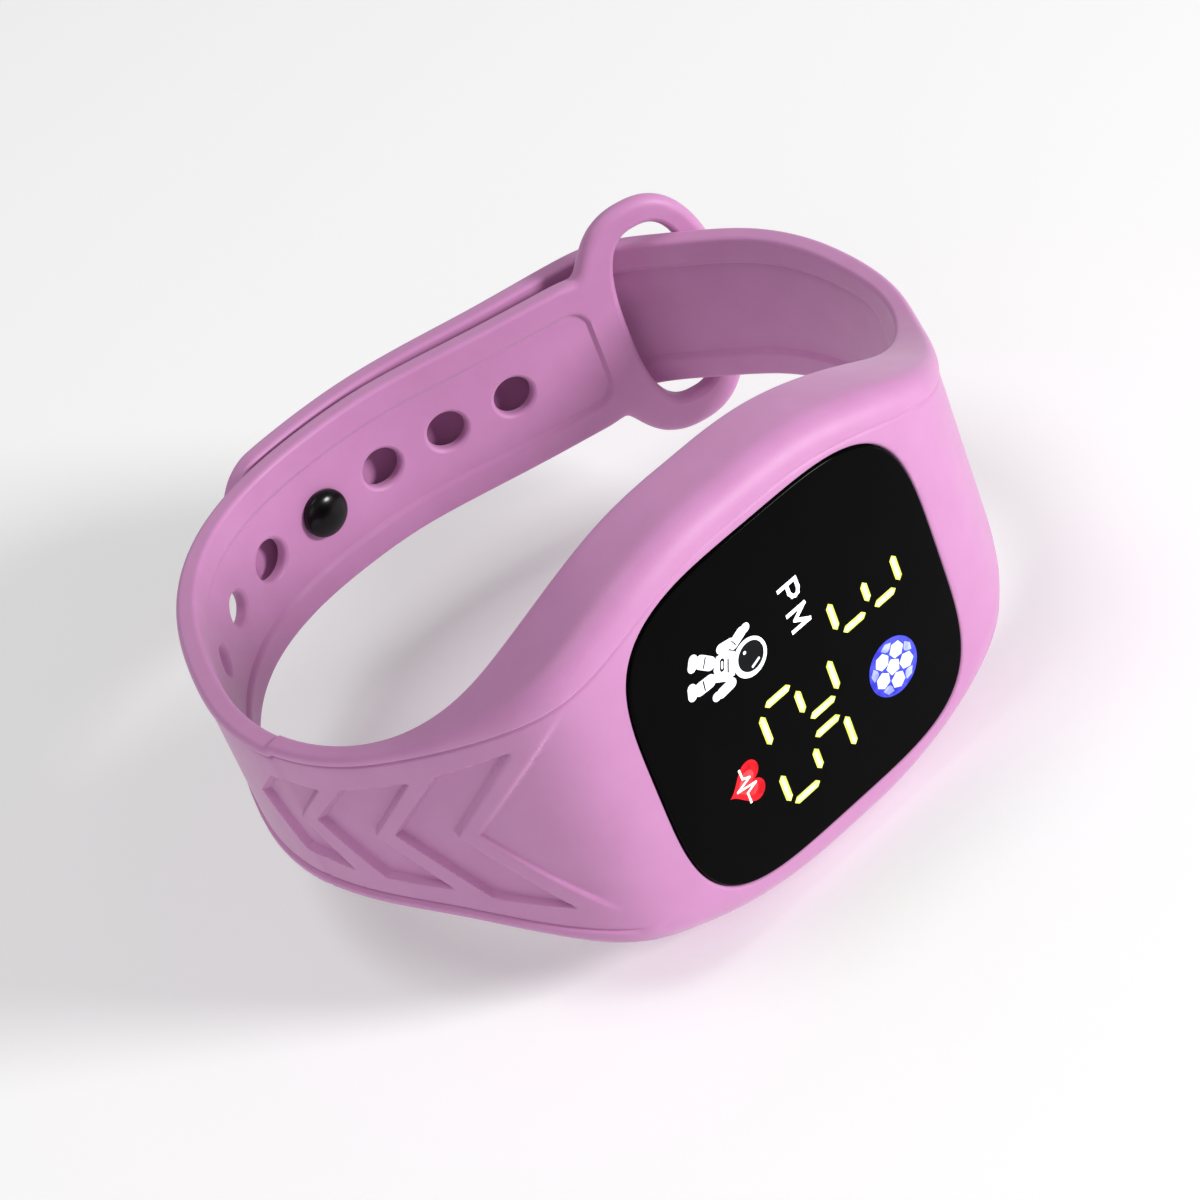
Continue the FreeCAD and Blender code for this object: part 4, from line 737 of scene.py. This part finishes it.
silicone = material("silicone_pink", (198, 134, 184), (194, 129, 179), rough=0.50, rough_span=0.05, scale=260, bump=0.22, bump_scale=5200,
                    bump_dist=0.00003, sheen=0.22, sss=0.05, sss_scale=0.001, spec=0.45)
gloss_black = material("gloss_black", (6, 6, 6), (4, 4, 4), rough=0.22, rough_span=0.03, scale=500, bump=0.03, bump_scale=3000, spec=0.25)
glass_black = material("window_black", (3, 3, 3), (2, 2, 2), rough=0.09, rough_span=0.02, scale=300, bump=0.0, spec=0.035)
SLOTS = {
    "stud_black": gloss_black, "lens_black": glass_black,
    "adhesive": material("adhesive", (210, 205, 190), (190, 186, 172), rough=0.6, scale=900),
    "shell_black": material("shell_black", (26, 26, 28), (18, 18, 20), rough=0.48, scale=800, bump=0.35, bump_scale=4500),
    "seal_rubber": material("seal_rubber", (44, 44, 46), (32, 32, 34), rough=0.75, scale=900, bump=0.2),
    "screw_steel": material("screw_steel", (196, 198, 202), (160, 162, 166), rough=0.28, scale=1500, metal=1.0, bump=0.15, stretch=(1, 1, 6)),
    "guide_white": material("guide_white", (236, 236, 232), (222, 222, 218), rough=0.5, scale=700, sss=0.1),
    "segment_amber": material("segment_amber", (236, 232, 150), (224, 216, 120), rough=0.4, scale=900),
    "icon_white": material("icon_white", (238, 238, 236), (220, 222, 226), rough=0.4, scale=900),
    "led": material("led_body", (246, 240, 206), (226, 214, 150), rough=0.25, scale=2500, coat=0.3),
    "board_green": material("board_green", (30, 104, 62), (18, 78, 46), rough=0.38, scale=1800, bump=0.3, bump_scale=1600, coat=0.2),
    "chip_black": material("chip_black", (36, 36, 38), (26, 26, 28), rough=0.55, scale=2500, bump=0.3, bump_scale=7000),
    "component_metal": material("component_metal", (202, 200, 192), (170, 168, 160), rough=0.3, scale=2500, metal=1.0, bump=0.1),
    "ceramic_tan": material("ceramic_tan", (190, 160, 118), (164, 134, 92), rough=0.5, scale=3000, bump=0.15),
    "foam_grey": material("foam_grey", (120, 122, 124), (84, 86, 88), rough=0.9, scale=2600, bump=0.7, bump_scale=3500, grain="VORONOI"),
    "battery_foil": material("battery_foil", (198, 200, 204), (166, 168, 174), rough=0.36, scale=420, metal=0.85, bump=0.4, bump_scale=900),
    "nickel": material("nickel", (206, 200, 186), (176, 170, 156), rough=0.3, scale=1800, metal=1.0, bump=0.1),
    "motor_steel": material("motor_steel", (190, 192, 196), (152, 154, 160), rough=0.26, scale=1500, metal=1.0, bump=0.1, stretch=(1, 5, 1)),
    "rotor_tungsten": material("rotor_tungsten", (120, 118, 116), (86, 86, 86), rough=0.45, scale=2200, metal=1.0, bump=0.35, bump_scale=3600),
    "window_smoked": material("window_smoked", (22, 24, 30), (14, 16, 22), rough=0.08, rough_span=0.02, scale=600, bump=0.0, coat=0.6),
    "sensor_dark": material("sensor_dark", (34, 40, 46), (20, 24, 30), rough=0.3, scale=2200, bump=0.1),
    "flex_amber": material("flex_amber", (196, 128, 52), (160, 96, 34), rough=0.35, scale=1400, bump=0.2, bump_scale=2600),
    "gold": material("gold_contact", (226, 184, 96), (196, 150, 66), rough=0.22, scale=1700, metal=1.0, bump=0.1),
    "silicone_pink": silicone,
}
NODE_SLOT = {
    "silicone_band": "silicone_pink", "strap_free_end": "silicone_pink", "clasp_stud": "stud_black", "clasp_stud_cap": "stud_black",
    "front_lens": "lens_black", "lens_adhesive": "adhesive", "capsule_shell": "shell_black", "cover_seal": "seal_rubber", "back_cover": "shell_black",
    "cover_screws": "screw_steel", "light_guide": "guide_white", "digit_segments": "segment_amber", "icon_diffusers": "icon_white", "display_leds": "led",
    "main_board": "board_green", "controller_chip": "chip_black", "motion_sensor": "component_metal", "timing_crystal": "component_metal",
    "board_passives": "ceramic_tan", "battery_pad": "foam_grey", "battery_cell": "battery_foil", "battery_tabs": "nickel", "motor_can": "motor_steel",
    "motor_base": "motor_steel", "motor_axle": "motor_steel", "motor_rotor": "rotor_tungsten", "sensor_glass": "window_smoked", "pulse_sensor": "sensor_dark",
    "sensor_flex": "flex_amber", "charging_pins": "gold", "touch_contact": "nickel",
}
for node, slot_name in NODE_SLOT.items():
    ob = bpy.data.objects.get(node)
    if ob is None:
        continue
    m = SLOTS[slot_name]
    if not ob.material_slots:
        ob.data.materials.append(m)
    for sl in ob.material_slots:
        sl.material = m

def dress(ob, *mats):
    idx = np.zeros(len(ob.data.polygons), int)
    ob.data.polygons.foreach_get("material_index", idx)
    ob.data.materials.clear()
    for m in mats:
        ob.data.materials.append(m)
    ob.data.polygons.foreach_set("material_index", np.minimum(idx, len(mats) - 1))

for ob in (band, free):
    dress(ob, silicone)
dress(stud, gloss_black); dress(capo, gloss_black); dress(lens, glass_black)
dress(digits, glow("digit_edge", (206, 214, 96), (176, 190, 70), 1.0), glow("digit_core", (250, 250, 176), (240, 244, 140), 1.25))
dress(marks, glow("mark_white", (245, 246, 250), (226, 230, 240), 1.1))
dress(astro, glow("suit_white", (236, 238, 242), (196, 200, 210), 0.95, 700), material("suit_dark", (14, 15, 18), (8, 9, 12), rough=0.3, bump=0.0, spec=0.1))
dress(ballo, glow("ball_blue", (66, 70, 196), (42, 44, 160), 0.9), glow("ball_pale", (206, 214, 250), (170, 178, 240), 1.0),
      glow("ball_centre", (240, 242, 255), (216, 222, 252), 1.0), glow("ball_edge", (160, 168, 240), (120, 128, 220), 0.9))
dress(hearto, glow("heart_red", (206, 24, 34), (160, 10, 22), 1.0), glow("heart_bright", (240, 70, 72), (220, 40, 48), 1.15), glow("heart_line", (255, 236, 232), (250, 210, 206), 1.3))

# ---------------------------------------------------------------- bodies
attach(band, "band"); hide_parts("silicone_band")
ph = place([S_HINGE], [0.0], TK)[0]
th = place([S_HINGE + 0.5], [0.0], TK)[0] - ph
th = th / np.linalg.norm(th)
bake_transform(free)
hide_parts("strap_free_end")
for o, n in ((stud, "clasp_stud"), (capo, "clasp_stud_cap")):
    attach(o, "strap_end"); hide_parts(n)
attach(lens, "capsule"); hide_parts("front_lens")
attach(digits, "capsule"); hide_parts("digit_segments")
for o in (marks, astro, ballo, hearto):
    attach(o, "capsule")
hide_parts("icon_diffusers")

# ---------------------------------------------------------------- stage, light, camera
def floor_mesh():
    V, F, n = [], [], 8
    R = 3.0
    for i in range(n + 1):
        for j in range(n + 1):
            V.append((-R + 2 * R * i / n, -R + 2 * R * j / n, -0.0002))
    for i in range(n):
        for j in range(n):
            a = i * (n + 1) + j
            F.append([a, a + n + 1, a + n + 2, a + 1])
    me = bpy.data.meshes.new("studio_floor"); me.from_pydata(V, [], F); me.update()
    ob = bpy.data.objects.new("studio_floor", me); bpy.context.collection.objects.link(ob)
    return ob
floor = floor_mesh()
fm = material("floor_white", (252, 252, 252), (250, 250, 250), rough=0.9, scale=2, bump=0.0, spec=0.1)
fm.node_tree.nodes["Principled BSDF"].inputs["Emission Color"].default_value = (1, 1, 1, 1)
fm.node_tree.nodes["Principled BSDF"].inputs["Emission Strength"].default_value = 0.12
floor.data.materials.append(fm)

def area(name, loc, target, size, power, color=(1, 1, 1)):
    L = bpy.data.lights.new(name, "AREA"); L.shape = "DISK"; L.size = size; L.energy = power; L.color = color
    ob = bpy.data.objects.new(name, L); bpy.context.collection.objects.link(ob)
    ob.location = loc
    ob.rotation_euler = (Vector(target) - Vector(loc)).to_track_quat("-Z", "Y").to_euler()
    return ob
area("key", (0.50, -0.78, 0.33), (0, 0, 0.015), 0.24, 8.6)
area("fill", (-0.70, -0.60, 0.60), (0, 0, 0.02), 0.6, 0.7)
area("back", (-0.25, 0.10, 0.95), (0, 0, 0.02), 0.5, 2.2)

world = bpy.data.worlds.new("studio"); bpy.context.scene.world = world; world.use_nodes = True
bg = world.node_tree.nodes["Background"]
bg.inputs[0].default_value = (1, 1, 1, 1); bg.inputs[1].default_value = 0.34

cam = bpy.data.cameras.new("camera"); co = bpy.data.objects.new("camera", cam); bpy.context.collection.objects.link(co)
cam.sensor_width = 36.0; cam.sensor_fit = "HORIZONTAL"; cam.lens = 113.25; cam.clip_start = 0.01; cam.clip_end = 20
C = ((-128.27 + SX) / 1000, (-233.58 + SY) / 1000, (190.22 + MZ) / 1000)
R_, U_, B_ = (0.706, -0.6371, -0.3093), (0.5949, 0.2965, 0.7471), (-0.3842, -0.7115, 0.5884)
mat = Matrix((( R_[0], U_[0], B_[0], C[0]), (R_[1], U_[1], B_[1], C[1]), (R_[2], U_[2], B_[2], C[2]), (0, 0, 0, 1)))
co.matrix_world = mat
bpy.context.scene.camera = co
bpy.context.scene.view_settings.view_transform = "Standard"
bpy.context.scene.view_settings.look = "None"

bpy.context.view_layer.update()
